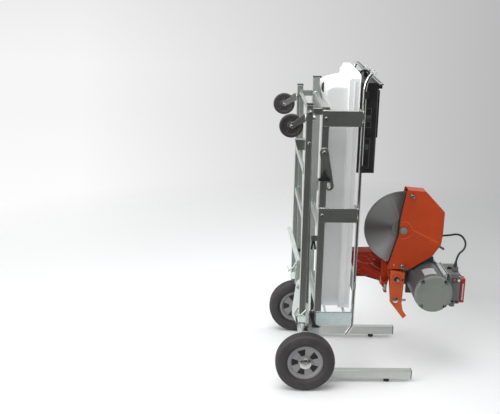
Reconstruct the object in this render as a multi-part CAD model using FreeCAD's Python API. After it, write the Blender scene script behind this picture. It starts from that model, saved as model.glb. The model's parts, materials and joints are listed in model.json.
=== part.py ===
import FreeCAD, Part
import math
import os

# Folding wet masonry table saw, standing on end on its two wheels and toe bars.
# Millimetres. Modelled with x = 0 at the wheel axle, y = 0 on the centre plane and the floor 8 mm below
# z = 0.
# +X points from the legs to the saw head, -Y is the near side, +Z is up. At the end every piece is
# moved so that the frame's origin is the middle of the bounding box's bottom.

# ---------------------------------------------------------------- driving dimensions
FIT = 0.05                  # radial running clearance of shafts and pins
SHEET = 2.5                 # guard and cover sheet

AXLE_Z = 123.0
AXLE_R = 10.0
WHEEL_R = 131.0
WHEEL_W = 64.0
WHEEL_Y = 311.0             # wheel centre planes
FLOOR = AXLE_Z - WHEEL_R
HUB_R = 78.0

TUBE = 30.0                 # square side tubes
WALL = 2.5
TUBE_CORNER = 3.0
MAIN_X = 53.0
MAIN_Y = 235.0
MAIN_BOTTOM = 262.0
MAIN_TOP = 1228.0
FAR_TOP = 1290.0            # the far side tube is wider and taller
FAR_W = 39.0

TOE_FRONT = 485.0
TOE_BACK = 45.0
TOE_BOTTOM = 8.0
TOE_H = 40.0
PAD_X = 378.0

RAIL_X = 213.0
RAIL_Y = 205.0
RAIL_R = 8.0
RAIL_BOTTOM = 247.0
RAIL_TOP = 1307.0
BAND_Z = ((744.0, 806.0), (1157.0, 1222.0))

TRAY_BACK = 77.0
TRAY_SUMP = 63.0
TRAY_STEP = 152.0
TRAY_FRONT = 198.0
TRAY_Z = (315.0, 1368.0)
TRAY_Y = 183.0
TRAY_WALL = 2.0

LEG = 28.0                  # front leg tubes
FRONT_X = -17.0
FRONT_Y = 261.0
FRONT_Z = (290.0, 1249.0)
FRONT_PIVOT = (-15.0, 1217.0)
CASTOR_R = 50.0
CASTOR_AXLE = (-90.0, 1160.0)
CASTOR_STEM_Z = 1193.0

REAR_PIVOT = (4.0, 262.0)
REAR_Y = 232.0
REAR_LEG = 20.0
REAR_TOP = 1198.0
REAR_LEAN = 0.94            # degrees, towards -X at the top

TABLE_X = (200.0, 273.0)
TABLE_Y = 188.0
TABLE_Z = (946.0, 1330.0)

HEAD_PIVOT = (430.0, 414.0)
PIVOT_R = 10.0
ARBOR = (448.0, 644.0)
ARBOR_R = 10.0
BLADE_R = 172.0
BLADE_T = 3.2
GUARD_Y = (-45.0, 20.0)
ARM_Y = (10.0, 17.5)

MOTOR = (571.0, 397.0)
MOTOR_R = 85.0
MOTOR_Y = (-200.0, 104.0)
ROTOR_R = 12.0
MOTOR_PULLEY_R = 45.0
ARBOR_PULLEY_R = 38.0
BELT_Y = (114.0, 130.0)

COLUMN_X = (221.0, 371.0)
COLUMN_Y = (25.0, 95.0)
COLUMN_Z = (400.0, 510.0)

BOX_X = (640.0, 700.0)
BOX_Y = (-150.0, -9.0)
BOX_Z = (334.0, 474.0)
FLAP_END = -112.0
LEAD_R = 4.5

LATCH_PIVOT = (51.0, 1048.0)
CAM_PIVOT = (26.0, 661.0)
STAY_PIVOT = (0.0, 392.0)
STOP_BUTTON = (671.0, 447.0)
START_BUTTON = (690.0, 447.0)
GLAND = (681.0, -105.0)

nodes = {}


# ---------------------------------------------------------------- shape helpers
def vec(x, y, z):
    return FreeCAD.Vector(x, y, z)


def box(x0, x1, y0, y1, z0, z1):
    return Part.makeBox(x1 - x0, y1 - y0, z1 - z0, vec(x0, y0, z0))


def rod_x(radius, x0, x1, y, z):
    return Part.makeCylinder(radius, x1 - x0, vec(x0, y, z), vec(1, 0, 0))


def rod_y(radius, place, y0, y1):
    return Part.makeCylinder(radius, y1 - y0, vec(place[0], y0, place[1]), vec(0, 1, 0))


def rod_z(radius, x, y, z0, z1):
    return Part.makeCylinder(radius, z1 - z0, vec(x, y, z0), vec(0, 0, 1))


def rod(radius, start, end):
    direction = end.sub(start)
    return Part.makeCylinder(radius, direction.Length, start, direction)


def bent_rod(radius, points):
    """A rod through the points, with a ball at each bend."""
    shape = rod(radius, points[0], points[1])
    for start, end in zip(points[1:], points[2:]):
        shape = shape.fuse([Part.makeSphere(radius, start), rod(radius, start, end)])
    return shape


def prism(outline, y0, y1):
    """An outline of (x, z) points, extruded along Y."""
    corners = [vec(x, y0, z) for x, z in outline]
    face = Part.Face(Part.makePolygon(corners + [corners[0]]))
    return face.extrude(vec(0, y1 - y0, 0))


def link(first, r_first, second, r_second, y0, y1):
    """A plate along Y that follows two circles and their outer tangents."""
    dx = second[0] - first[0]
    dz = second[1] - first[1]
    heading = math.atan2(dz, dx)
    spread = math.acos((r_first - r_second) / math.hypot(dx, dz))

    def on(centre, radius, angle):
        return vec(centre[0] + radius * math.cos(angle), y0, centre[1] + radius * math.sin(angle))

    a_up = on(first, r_first, heading + spread)
    a_down = on(first, r_first, heading - spread)
    b_up = on(second, r_second, heading + spread)
    b_down = on(second, r_second, heading - spread)
    edges = [
        Part.LineSegment(a_up, b_up).toShape(),
        Part.Arc(b_up, on(second, r_second, heading), b_down).toShape(),
        Part.LineSegment(b_down, a_down).toShape(),
        Part.Arc(a_down, on(first, r_first, heading + math.pi), a_up).toShape(),
    ]
    return Part.Face(Part.Wire(edges)).extrude(vec(0, y1 - y0, 0))


def tube_z(x, y, wide, deep, z0, z1, wall=WALL):
    outer = box(x - wide / 2, x + wide / 2, y - deep / 2, y + deep / 2, z0, z1)
    outer = fillet_along(outer, vec(0, 0, 1), TUBE_CORNER)
    wide -= 2 * wall
    deep -= 2 * wall
    return outer.cut(box(x - wide / 2, x + wide / 2, y - deep / 2, y + deep / 2, z0, z1))


def across(shape):
    """The same piece on the other side of the centre plane."""
    return shape.mirror(vec(0, 0, 0), vec(0, 1, 0))


def both_sides(shape):
    return [shape, across(shape)]


def group(shapes):
    return Part.makeCompound(shapes)


def fillet_along(shape, direction, radius):
    """Rounds the straight edges that run along one axis."""
    chosen = []
    for edge in shape.Edges:
        ends = edge.Vertexes
        if len(ends) == 2:
            span = ends[1].Point.sub(ends[0].Point)
            if abs(abs(span.dot(direction)) - span.Length) < 1e-6:
                chosen.append(edge)
    return shape.makeFillet(radius, chosen)


def revolve_y(profile, place):
    """A profile of (radius, y) points, revolved about the Y line through an (x, z) place."""
    corners = [vec(place[0] + r, y, place[1]) for r, y in profile]
    face = Part.Face(Part.makePolygon(corners + [corners[0]]))
    return face.revolve(vec(place[0], 0, place[1]), vec(0, 1, 0), 360)


# ---------------------------------------------------------------- chassis
def side_tubes():
    near = tube_z(MAIN_X, -MAIN_Y, TUBE, TUBE, MAIN_BOTTOM, MAIN_TOP)
    far = tube_z(MAIN_X + (FAR_W - TUBE) / 2, MAIN_Y, FAR_W, TUBE, MAIN_BOTTOM, FAR_TOP)
    return group([near, far])


def frame_cross_tubes():
    half = MAIN_Y - TUBE / 2
    tubes = []
    for z in (346.0, 700.0, 1212.0):
        outer = rod_y(12.0, (MAIN_X, z), -half, half)
        tubes.append(outer.cut(rod_y(9.5, (MAIN_X, z), -half, half)))
    return group(tubes)


def frame_end_caps():
    cap = 4.0
    half = TUBE / 2
    far_x = MAIN_X + (FAR_W - TUBE) / 2
    shapes = [
        box(MAIN_X - half, MAIN_X + half, -MAIN_Y - half, -MAIN_Y + half, MAIN_TOP, MAIN_TOP + cap),
        box(far_x - FAR_W / 2, far_x + FAR_W / 2, MAIN_Y - half, MAIN_Y + half, FAR_TOP, FAR_TOP + cap),
        box(MAIN_X - half, MAIN_X + half, -MAIN_Y - half, -MAIN_Y + half, MAIN_BOTTOM - cap, MAIN_BOTTOM),
        box(far_x - FAR_W / 2, far_x + FAR_W / 2, MAIN_Y - half, MAIN_Y + half,
            MAIN_BOTTOM - cap, MAIN_BOTTOM),
    ]
    toe = box(TOE_FRONT, TOE_FRONT + cap, -MAIN_Y - half, -MAIN_Y + half, TOE_BOTTOM, TOE_BOTTOM + TOE_H)
    return group(shapes + both_sides(toe))


def toe_bars():
    half = TUBE / 2
    top = TOE_BOTTOM + TOE_H
    outer = box(TOE_BACK, TOE_FRONT, -MAIN_Y - half, -MAIN_Y + half, TOE_BOTTOM, top)
    outer = fillet_along(outer, vec(1, 0, 0), TUBE_CORNER)
    inner = box(TOE_BACK, TOE_FRONT, -MAIN_Y - half + WALL, -MAIN_Y + half - WALL,
                TOE_BOTTOM + WALL, top - WALL)
    return group(both_sides(outer.cut(inner)))


def toe_pads():
    pad = Part.makeCone(14.0, 12.0, TOE_BOTTOM - FLOOR, vec(PAD_X, -MAIN_Y, TOE_BOTTOM), vec(0, 0, -1))
    return group(both_sides(pad))


def axle():
    """Through axle with a domed cap outside each wheel."""
    end = WHEEL_Y + 23.5
    cap = revolve_y([(0, end), (26, end), (26, end + 2), (20, end + 5), (11, end + 7), (0, end + 7.5)],
                    (0, AXLE_Z))
    return rod_y(AXLE_R, (0, AXLE_Z), -end, end).fuse(both_sides(cap))


def axle_brackets():
    outline = [(68, 30), (68, 330), (38, 330), (-6, 285), (-22, 150), (-22, 110), (20, 30)]
    plate = prism(outline, -220, -214)
    plate = plate.cut(rod_y(AXLE_R, (0, AXLE_Z), -230, -200))
    plate = plate.cut(rod_y(6.0, REAR_PIVOT, -230, -200))
    return group(both_sides(plate))


def rear_panel():
    """Plates outside the side tubes, tied by two flats on edge that carry the tray."""
    outside = MAIN_Y + TUBE / 2
    side = box(46, 203, -outside - 2, -outside, 266, 333)
    flats = [box(92, 95, -outside, outside, 288, TRAY_Z[0] + 3),
             box(176, 179, -outside, outside, 285, TRAY_Z[0])]
    return group(both_sides(side) + flats)


def guide_rails():
    points = [
        vec(RAIL_X - 26, -RAIL_Y, RAIL_BOTTOM - 42),
        vec(RAIL_X, -RAIL_Y, RAIL_BOTTOM),
        vec(RAIL_X, -RAIL_Y, RAIL_TOP),
        vec(RAIL_X + 4, -RAIL_Y, RAIL_TOP + 24),
        vec(RAIL_X + 13, -RAIL_Y, RAIL_TOP + 45),
        vec(RAIL_X + 26, -RAIL_Y, RAIL_TOP + 62),
    ]
    return group(both_sides(bent_rod(RAIL_R, points)))


def side_bands():
    """Flat bands from the side tubes to the rails, each with a return flange and a rail saddle."""
    outside = MAIN_Y + TUBE / 2
    shapes = []
    for z0, z1 in BAND_Z:
        band = box(38, 203, -outside - 5, -outside, z0, z1)
        band = band.fuse(box(198, 203, -outside - 5, -191, z0, z1))
        middle = (z0 + z1) / 2
        saddle = box(203, RAIL_X - 2, -213, -197, middle - 12, middle + 12)
        saddle = saddle.cut(rod_z(RAIL_R, RAIL_X, -RAIL_Y, z0, z1))
        shapes += both_sides(band.fuse(saddle))
    return group(shapes)


def frame_bolts():
    """Band bolts on the side tubes, rail bolts, and the pivot bolts of the latch and the rear legs."""
    outside = MAIN_Y + TUBE / 2 + 5
    shapes = []
    for z0, z1 in BAND_Z:
        middle = (z0 + z1) / 2
        shapes += both_sides(rod_y(6.0, (MAIN_X, middle), -outside - 5, -outside))
        for z in (middle - 20, middle + 20):
            shapes += both_sides(rod_x(5.0, 203, 208, -228, z))
    shapes.append(rod_y(6.0, LATCH_PIVOT, -257, -outside + 5).fuse(rod_y(10.0, LATCH_PIVOT, -263, -257)))
    pivot = rod_y(6.0, REAR_PIVOT, -248, -212)
    pivot = pivot.fuse([rod_y(10.0, REAR_PIVOT, -252, -246), rod_y(10.0, REAR_PIVOT, -214, -208)])
    shapes += both_sides(pivot)
    return group(shapes)


def leg_arms():
    """Short arms on the side tubes that carry the front leg shaft."""
    x, z = FRONT_PIVOT
    arm = box(x - 13, MAIN_X - TUBE / 2, -244, -234, 1203, 1229)
    arm = fillet_along(arm, vec(0, 1, 0), 5.0)
    arm = arm.cut(rod_y(8.0 + FIT, FRONT_PIVOT, -250, -230))
    return group(both_sides(arm))


def water_tray():
    """Deep pan with a stepped rim; its upper end slopes and its sump stands out at the back."""
    z0, z1 = TRAY_Z
    along = vec(1, 0, 0)
    wall = TRAY_WALL
    pan = [(TRAY_BACK, z0 + 3), (TRAY_STEP + 4, z0 + 3), (TRAY_STEP + 4, z1 - 43), (TRAY_SUMP + 19, z1 - 64),
           (TRAY_SUMP, z1 - 76), (TRAY_SUMP, z1 - 98), (TRAY_BACK, z1 - 155)]
    pan_inside = [(TRAY_BACK + wall, z0 + 5), (TRAY_STEP + 5, z0 + 5), (TRAY_STEP + 5, z1 - 45),
                  (TRAY_SUMP + 20, z1 - 66), (TRAY_SUMP + wall, z1 - 77), (TRAY_SUMP + wall, z1 - 98),
                  (TRAY_BACK + wall, z1 - 155)]
    rim = [(TRAY_STEP, z0), (TRAY_FRONT, z0), (TRAY_FRONT, z1 - 10), (TRAY_FRONT - 5, z1),
           (TRAY_STEP + 14, z1), (TRAY_STEP + 6, z1 - 24), (TRAY_STEP, z1 - 28)]
    rim_inside = [(TRAY_STEP + wall, z0 + 2), (TRAY_FRONT + 1, z0 + 2), (TRAY_FRONT + 1, z1 - 14),
                  (TRAY_FRONT - 6, z1 - 2.4), (TRAY_STEP + 15, z1 - 2.4), (TRAY_STEP + 8, z1 - 26),
                  (TRAY_STEP + wall, z1 - 30)]

    def moulded(outline, half, z_low, z_high, radius):
        ends = fillet_along(box(TRAY_SUMP - 5, TRAY_FRONT + 5, -half, half, z_low, z_high), along, radius)
        return prism(outline, -half, half).common(ends)

    outer = moulded(pan, 165, z0 + 3, z1 - 43, 26).fuse(moulded(rim, TRAY_Y, z0, z1, 30))
    hollow = moulded(pan_inside, 165 - wall, z0 + 3 + wall, z1 - 43 - wall, 24)
    hollow = hollow.fuse(moulded(rim_inside, TRAY_Y - wall, z0 + wall, z1 - wall, 28))
    hollow = hollow.fuse(box(TRAY_STEP, TRAY_STEP + 5, -150, 150, z0 + 40, z1 - 80))
    band = box(TRAY_STEP + 20, TRAY_STEP + 26, -TRAY_Y - 3, TRAY_Y + 3, z0 + 30, z1 - 38)
    band = band.cut(box(TRAY_STEP, TRAY_FRONT, -TRAY_Y, TRAY_Y, z0, z1))
    return outer.fuse(band).cut(hollow)


def column_base():
    """Cross plate that carries the column, clamped to both rails."""
    plate = box(RAIL_X - 5, COLUMN_X[0], -190, 190, 404, 484)
    clamp = box(RAIL_X - 5, RAIL_X + 7, -213, -190, 425, 455)
    plate = plate.fuse(both_sides(clamp))
    return plate.cut(rod_z(RAIL_R, RAIL_X, -RAIL_Y, 390, 490)).cut(rod_z(RAIL_R, RAIL_X, RAIL_Y, 390, 490))


def column():
    outer = box(*COLUMN_X, *COLUMN_Y, *COLUMN_Z)
    inner = box(COLUMN_X[0] + 6, COLUMN_X[1], COLUMN_Y[0] + 5, COLUMN_Y[1] - 5,
                COLUMN_Z[0] + 5, COLUMN_Z[1] - 5)
    return outer.cut(inner)


def splash_curtain():
    top = COLUMN_Z[1] + 3
    outside = [(228, top), (369, top), (369, 370), (296, 392), (228, 392)]
    inside = [(220, COLUMN_Z[1]), (380, COLUMN_Z[1]), (380, 369.5), (296, 394), (220, 394)]
    shell = prism(outside, COLUMN_Y[0] - 3.4, COLUMN_Y[1] + 3.4)
    return shell.cut(prism(inside, COLUMN_Y[0] - 1.4, COLUMN_Y[1] + 1.4))


def pivot_block():
    """Flange on the column's end, with the lug that holds the head's pivot shaft."""
    flange = box(COLUMN_X[1], COLUMN_X[1] + 8, COLUMN_Y[0] - 3, COLUMN_Y[1] + 3, 354, 476)
    lug = link((398, 416), 26, HEAD_PIVOT, 24, 24, 60)
    web = prism([(379, 440), (379, 346), (398, 326), (412, 395), (412, 438)], 24, 60)
    hooks = box(371, 398, -8, 26, 372, 378).fuse(box(384, 398, -8, 30, 328, 333))
    block = flange.fuse([lug, web, hooks])
    return block.cut(rod_y(PIVOT_R, HEAD_PIVOT, 0, 80)).removeSplitter()


def pivot_shaft():
    shaft = rod_y(PIVOT_R, HEAD_PIVOT, -58, 68)
    return shaft.fuse([rod_y(15.0, HEAD_PIVOT, -62, -54), rod_y(16.0, HEAD_PIVOT, 60.2, 70)])


def counter_spring():
    """Coils on a rod between the column's two spring hooks."""
    x = 391.0
    shape = rod_z(3.4, x, 0, 333, 372)
    rings = [Part.makeTorus(5.0, 1.9, vec(x, 0, 337 + 3.9 * turn)) for turn in range(9)]
    return shape.fuse(rings)


def stop_pads():
    """Rubber wedges that the rear legs rest against, each with a toe outside the panel."""
    wedge = prism([(17, 322), (30, 322), (38, 304), (38, 258), (36, 258)], -249, -221)
    neck = box(30, 38, -252, -249, 258, 290)
    toe = prism([(30, 290), (37, 290), (44, 274), (61, 266), (61, 258), (30, 258)], -256, -252)
    return group(both_sides(wedge.fuse([neck, toe])))


def cam_tab():
    """Tab and headed pin of the cam lever, on the near side tube."""
    tab = box(14, 60, -220, -218, 648, 674)
    return tab.fuse([rod_y(4.0, CAM_PIVOT, -218, -207), rod_y(8.0, CAM_PIVOT, -211.2, -207)])


# ---------------------------------------------------------------- latch and cam levers
def latch_lever():
    tip = (78.0, 903.0)
    plate = link(LATCH_PIVOT, 19, tip, 19, -256.5, -250.5)
    slot = link((74, 913), 6.5, (76, 901), 6.5, -260, -250)
    return plate.cut(slot).cut(rod_y(6.0 + FIT, LATCH_PIVOT, -260, -250))


def latch_knob():
    """Wing knob that clamps the latch lever."""
    x, z = (58, 941)
    wings = [(x - 28, z - 13), (x + 22, z - 13), (x + 22, z - 5), (x + 8, z + 7), (x - 4, z + 37),
             (x - 14, z + 7), (x - 28, z - 5)]
    return prism(wings, -266, -259).fuse(rod_y(11.0, (x, z), -259, -256.5))


def cam_lever():
    x, z = CAM_PIVOT
    outline = [(x - 4, z + 7), (x + 4, z + 7), (x + 12, z - 52), (x + 5, z - 52), (x, z - 22),
               (x - 5, z - 52), (x - 12, z - 52)]
    return prism(outline, -217.5, -211.5).cut(rod_y(4.0 + FIT, CAM_PIVOT, -220, -210))


# ---------------------------------------------------------------- front legs and castors
def front_legs():
    """Two leg tubes tied by the full-width pivot shaft, with a locking hook on the near leg."""
    z0, z1 = FRONT_Z
    half = LEG / 2
    leg = tube_z(FRONT_X, -FRONT_Y, LEG, LEG, z0, z1, 2.0)
    stem = rod_x(8.0 + FIT, FRONT_X - half - 2, FRONT_X + half + 2, -FRONT_Y, CASTOR_STEM_Z)
    leg = leg.cut(stem).cut(rod_y(7.0, FRONT_PIVOT, -FRONT_Y - 20, -FRONT_Y + 20))
    shaft = rod_y(8.0, FRONT_PIVOT, -FRONT_Y + half, FRONT_Y - half)
    end = FRONT_Y + half
    shaft = shaft.fuse(rod_y(7.0, FRONT_PIVOT, -end - 2, end + 2))
    heads = [rod_y(11.0, FRONT_PIVOT, -end - 7, -end), rod_y(11.0, FRONT_PIVOT, end, end + 7)]
    bolts = both_sides(rod_y(6.0, (FRONT_X + 2, 1090), -end - 4, -end))
    x = FRONT_X - half
    hook = bent_rod(3.5, [vec(x - 3.5, -FRONT_Y, 356), vec(x - 18, -FRONT_Y, 326),
                          vec(x - 10, -FRONT_Y, 318)])
    hook = hook.fuse(rod_x(3.5, x - 6, x, -FRONT_Y, 354))
    return group(both_sides(leg) + [shaft.fuse(heads), hook] + bolts)


def front_leg_caps():
    half = LEG / 2
    shapes = []
    for z in (FRONT_Z[0] - 4, FRONT_Z[1]):
        shapes += both_sides(box(FRONT_X - half, FRONT_X + half, -FRONT_Y - half, -FRONT_Y + half,
                                 z, z + 4))
    return group(shapes)


def castor_fork(side):
    """Bent sheet fork, its stem through the leg and the wheel's axle pin."""
    y = side * FRONT_Y
    back = FRONT_X - LEG / 2
    z = CASTOR_STEM_Z
    stem = rod_x(8.0, back - 10, FRONT_X + LEG / 2 + 4, y, z)
    nut = rod_x(12.0, FRONT_X + LEG / 2 + 0.3, FRONT_X + LEG / 2 + 9, y, z)
    race = rod_x(15.0, back - 5, back - 0.3, y, z)
    crown = box(back - 9, back - 5, y - 14.4, y + 14.4, z - 17, z + 17)
    outline = [(back - 9, z + 17), (back - 9, z - 17), (CASTOR_AXLE[0] + 2, CASTOR_AXLE[1] - 11),
               (CASTOR_AXLE[0] - 10, CASTOR_AXLE[1] - 4), (CASTOR_AXLE[0] - 8, CASTOR_AXLE[1] + 8)]
    cheeks = [prism(outline, y - 14.4, y - 12.2), prism(outline, y + 12.2, y + 14.4)]
    pin = rod_y(5.0, CASTOR_AXLE, y - 16.5, y + 16.5)
    return stem.fuse([nut, race, crown, pin] + cheeks)


def castor_wheel(side):
    y = side * FRONT_Y
    half = 10.0
    profile = [(5.0 + FIT, -half), (18, -half), (20, -half + 2), (34, -half + 2), (38, -half), (44, -half),
               (CASTOR_R - 1.5, -half + 4), (CASTOR_R, 0), (CASTOR_R - 1.5, half - 4), (44, half),
               (38, half), (34, half - 2), (20, half - 2), (18, half), (5.0 + FIT, half)]
    wheel = revolve_y(profile, CASTOR_AXLE)
    wheel.translate(vec(0, y, 0))
    return wheel


# ---------------------------------------------------------------- rear legs
def rear_lean(shape):
    shape.rotate(vec(REAR_PIVOT[0], 0, REAR_PIVOT[1]), vec(0, 1, 0), -REAR_LEAN)
    return shape


def rear_legs():
    """Two inner leg tubes, two flat ties and the near leg's folded bracket."""
    x, z = REAR_PIVOT
    leg = tube_z(x, -REAR_Y, REAR_LEG, REAR_LEG, z - 18, REAR_TOP, 2.0)
    leg = leg.cut(rod_y(6.0 + FIT, REAR_PIVOT, -260, -200))
    ties = []
    for height in (755.0, 961.0):
        ties.append(box(x - 24, x - 14, -REAR_Y + 10, REAR_Y - 10, height - 14, height + 14))
        for side in (-1, 1):
            y = side * (REAR_Y - 11.5)
            ties.append(box(x - 14, x + 6, y - 1.5, y + 1.5, height - 14, height + 14))
    outside = [(x - 10, 1098), (x - 62, 1098), (x - 50, 1054), (x - 10, 1054)]
    inside = [(x - 13, 1096), (x - 59, 1096), (x - 48, 1057), (x - 13, 1057)]
    bracket = prism(outside, -REAR_Y - 10, -REAR_Y + 24).cut(prism(inside, -REAR_Y - 7, -REAR_Y + 24))
    return rear_lean(group(both_sides(leg) + ties + [bracket]))


def rear_leg_caps():
    x, z = REAR_PIVOT
    shapes = []
    for bottom in (z - 26, REAR_TOP):
        height = 8 if bottom < z else 4
        shapes += both_sides(box(x - 10, x + 10, -REAR_Y - 10, -REAR_Y + 10, bottom, bottom + height))
    shapes.append(rod_y(6.0, (x + 2, 452), 209, 221.5))
    return rear_lean(group(shapes))


def fold_stay():
    """Flat stay on the far rear leg, with a wire hook beside its pivot."""
    x, z = STAY_PIVOT
    bar = link((x, z), 11, (x - 50, z + 172), 10, 214, 219)
    bar = bar.cut(rod_y(5.0 + FIT, STAY_PIVOT, 210, 225))
    hook = bent_rod(2.5, [vec(x - 8, 216.5, z + 3), vec(x - 26, 216.5, z - 32), vec(x - 46, 216.5, z - 40),
                          vec(x - 54, 216.5, z - 24)])
    return bar.fuse(hook)


def stay_bolt():
    pin = rod_y(5.0, STAY_PIVOT, 209, 221.5)
    return rod_y(9.0, STAY_PIVOT, 206, 213.7).fuse(pin)


# ---------------------------------------------------------------- wheels
def tyre(side):
    half = WHEEL_W / 2
    profile = [(HUB_R, -17), (84, -22), (92, -half + 2), (98, -half + 0.5), (102, -half), (116, -half + 1),
               (123, -half + 3), (128, -half + 7), (WHEEL_R - 1, -half + 13), (WHEEL_R, -8), (WHEEL_R, 8),
               (WHEEL_R - 1, half - 13), (128, half - 7), (123, half - 3), (116, half - 1), (102, half),
               (98, half - 0.5), (92, half - 2), (84, 22), (HUB_R, 17)]
    shape = revolve_y(profile, (0, AXLE_Z))
    shape.translate(vec(0, side * WHEEL_Y, 0))
    return shape


def hub():
    """Near wheel's hub, with five pockets in each face and a closed web between them."""
    profile = [(AXLE_R + FIT, -23), (24, -23), (27, -17), (30, -10), (62, -10), (66, -15), (70, -18),
               (HUB_R, -17), (HUB_R, 17), (70, 18), (66, 15), (62, 9), (30, 9), (27, 16), (24, 23),
               (AXLE_R + FIT, 23)]
    shape = revolve_y(profile, (0, AXLE_Z))
    for spoke in range(5):
        outline = [(31, AXLE_Z - 8), (60, AXLE_Z - 19), (60, AXLE_Z + 19), (31, AXLE_Z + 8)]
        for y0, y1 in ((-30, -3), (2, 30)):
            wedge = fillet_along(prism(outline, y0, y1), vec(0, 1, 0), 4)
            wedge.rotate(vec(0, 0, AXLE_Z), vec(0, 1, 0), 180 + 72 * spoke)
            shape = shape.cut(wedge)
    shape.translate(vec(0, -WHEEL_Y, 0))
    return shape


# ---------------------------------------------------------------- sliding table
def table_top():
    """Shallow frame behind a top plate, with a blade slot open at its lower end."""
    back, front = TABLE_X
    z0, z1 = TABLE_Z
    outer = box(back, front, -TABLE_Y, TABLE_Y, z0, z1)
    inner = box(back - 1, front - 5, -TABLE_Y + 4, TABLE_Y - 4, z0 + 4, z1 - 4)
    lip = box(front, front + 14, -TABLE_Y, TABLE_Y, z1 - 24, z1 - 6)
    ribs = [box(back + 20, front - 5, side * 60 - 2, side * 60 + 2, z0 + 4, z1 - 4) for side in (-1, 1)]
    slot = box(back - 1, front + 1, -5, 5, z0 - 1, z1 - 90)
    return outer.cut(inner).fuse([lip] + ribs).cut(slot).cut(scale_fence())


def table_guides():
    """Four guide shoes along the rails and the arch handle on the table's upper end."""
    shapes = []
    for z in (TABLE_Z[0] + 6, TABLE_Z[1] - 64):
        shoe = box(RAIL_X - 0.5, RAIL_X + 17, -RAIL_Y - 9, -TABLE_Y, z, z + 30)
        shoe = shoe.cut(rod_z(RAIL_R + 0.3, RAIL_X, -RAIL_Y, z - 1, z + 31))
        shapes += both_sides(shoe)
    end = TABLE_Z[1]
    centre = (230, end + 12)
    arch = rod_y(25.0, centre, -62, -50).fuse(box(205, 255, -62, -50, end, end + 12))
    arch = arch.cut(rod_y(18.0, centre, -63, -49)).cut(box(212, 248, -63, -49, end, end + 12))
    bracket = box(236, 262, -10, 10, end, end + 30)
    return group(shapes + [arch.cut(box(205, 255, -62, -50, end - 20, end)).cut(scale_fence()),
                           bracket.cut(fence_clearance())])


FENCE_NEAR = (278.0, -220.0, 1328.0)
FENCE_FAR = (228.0, 188.0, 1370.0)


def fence_bar(height):
    """A bar of the given height between the fence's two ends."""
    near = vec(*FENCE_NEAR)
    run = vec(*FENCE_FAR).sub(near)
    shape = box(-9, 9, 0, run.Length, -3, height - 3)
    turn = FreeCAD.Rotation(vec(0, 1, 0), run)
    shape.Placement = FreeCAD.Placement(near, turn)
    return shape


def scale_fence():
    return fence_bar(6.0)


def fence_clearance():
    """The space of the fence and everything above it."""
    return fence_bar(80.0)


def wire_clip():
    """Spring wire bow on the fence."""
    return bent_rod(2.0, [vec(262, -112, 1344.5), vec(254, -112, 1374), vec(279, -100, 1356),
                          vec(266, -96, 1344.5)]).cut(scale_fence())


# ---------------------------------------------------------------- saw head
GUARD_OUTLINE = [(453, 833), (538, 826), (629, 731), (629, 625), (624, 577), (592, 526), (490, 458),
                 (385, 458), (429, 622), (430, 690)]


def head_bracket():
    """Near cheek, hub on the pivot shaft, arm to the arbor and the arbor's bearing housing."""
    outline = [(400, 454), (468, 442), (464, 350), (462, 291), (470, 256), (488, 230), (473, 215),
               (407, 299), (403, 360), (402, 410)]
    cheek = prism(outline, -52, -44)
    near_hub = rod_y(26.0, HEAD_PIVOT, -44, 20)
    low_spacer = rod_y(11.0, (432, 309), -44, ARM_Y[0])
    arm = link(HEAD_PIVOT, 30, ARBOR, 38, *ARM_Y)
    arm = arm.fuse(link(HEAD_PIVOT, 30, (520, 385), 34, *ARM_Y))
    arm = arm.fuse(link(HEAD_PIVOT, 26, (432, 309), 16, *ARM_Y))
    housing = rod_y(34.0, ARBOR, ARM_Y[0], MOTOR_Y[1])
    shape = cheek.fuse([near_hub, low_spacer, arm, housing])
    shape = shape.cut(rod_y(PIVOT_R + FIT, HEAD_PIVOT, -60, 30))
    shape = shape.cut([rod_y(ARBOR_R + FIT, ARBOR, 0, 110), rod_y(21.0, ARBOR, 30, 86)])
    shape = shape.cut(rod_y(MOTOR_R, MOTOR, 0, 30))
    return shape.removeSplitter()


def guard_shell():
    """Rim and far wall of the blade guard, open along its left edge for the blade."""
    outer = prism(GUARD_OUTLINE, GUARD_Y[0] + SHEET, GUARD_Y[1])
    corners = [vec(x, GUARD_Y[0], z) for x, z in GUARD_OUTLINE]
    face = Part.Face(Part.makePolygon(corners + [corners[0]]))
    hollow = face.makeOffset2D(-SHEET, join=2).extrude(vec(0, GUARD_Y[1] - SHEET - GUARD_Y[0], 0))
    mouth = prism(GUARD_OUTLINE, GUARD_Y[0], GUARD_Y[1] - SHEET)
    shifted = mouth.copy()
    shifted.translate(vec(6, 0, 0))
    shell = outer.cut(hollow).cut(mouth.cut(shifted))
    shell = shell.cut(link(HEAD_PIVOT, 30.2, ARBOR, 38.2, ARM_Y[0] - 0.2, ARM_Y[1]))
    return shell.cut(rod_y(34.0, ARBOR, 0, 30))


def guard_side_cover():
    """Near wall of the guard, with its boss, raised channel and water nub."""
    y = GUARD_Y[0]
    plate = prism(GUARD_OUTLINE, y, y + SHEET)
    boss = rod_y(28.0, ARBOR, y - 4, y + SHEET)
    ring = rod_y(42.0, ARBOR, y - 1.5, y)
    ring = ring.common(prism(GUARD_OUTLINE, y - 2, y))
    channel = link((470, 633), 12, (606, 566), 9, y - 3, y)
    nub = rod(5.0, vec(612, y + 8, 571), vec(637, y + 8, 556))
    cover = plate.fuse([boss, ring, channel])
    return group([cover.cut(rod_y(17.0, ARBOR, y - 10, y + 10)), nub.cut(prism(GUARD_OUTLINE, y, 0))])


def saw_blade():
    disc = rod_y(BLADE_R, ARBOR, -BLADE_T / 2, BLADE_T / 2)
    return disc.cut(rod_y(ARBOR_R, ARBOR, -5, 5))


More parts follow.
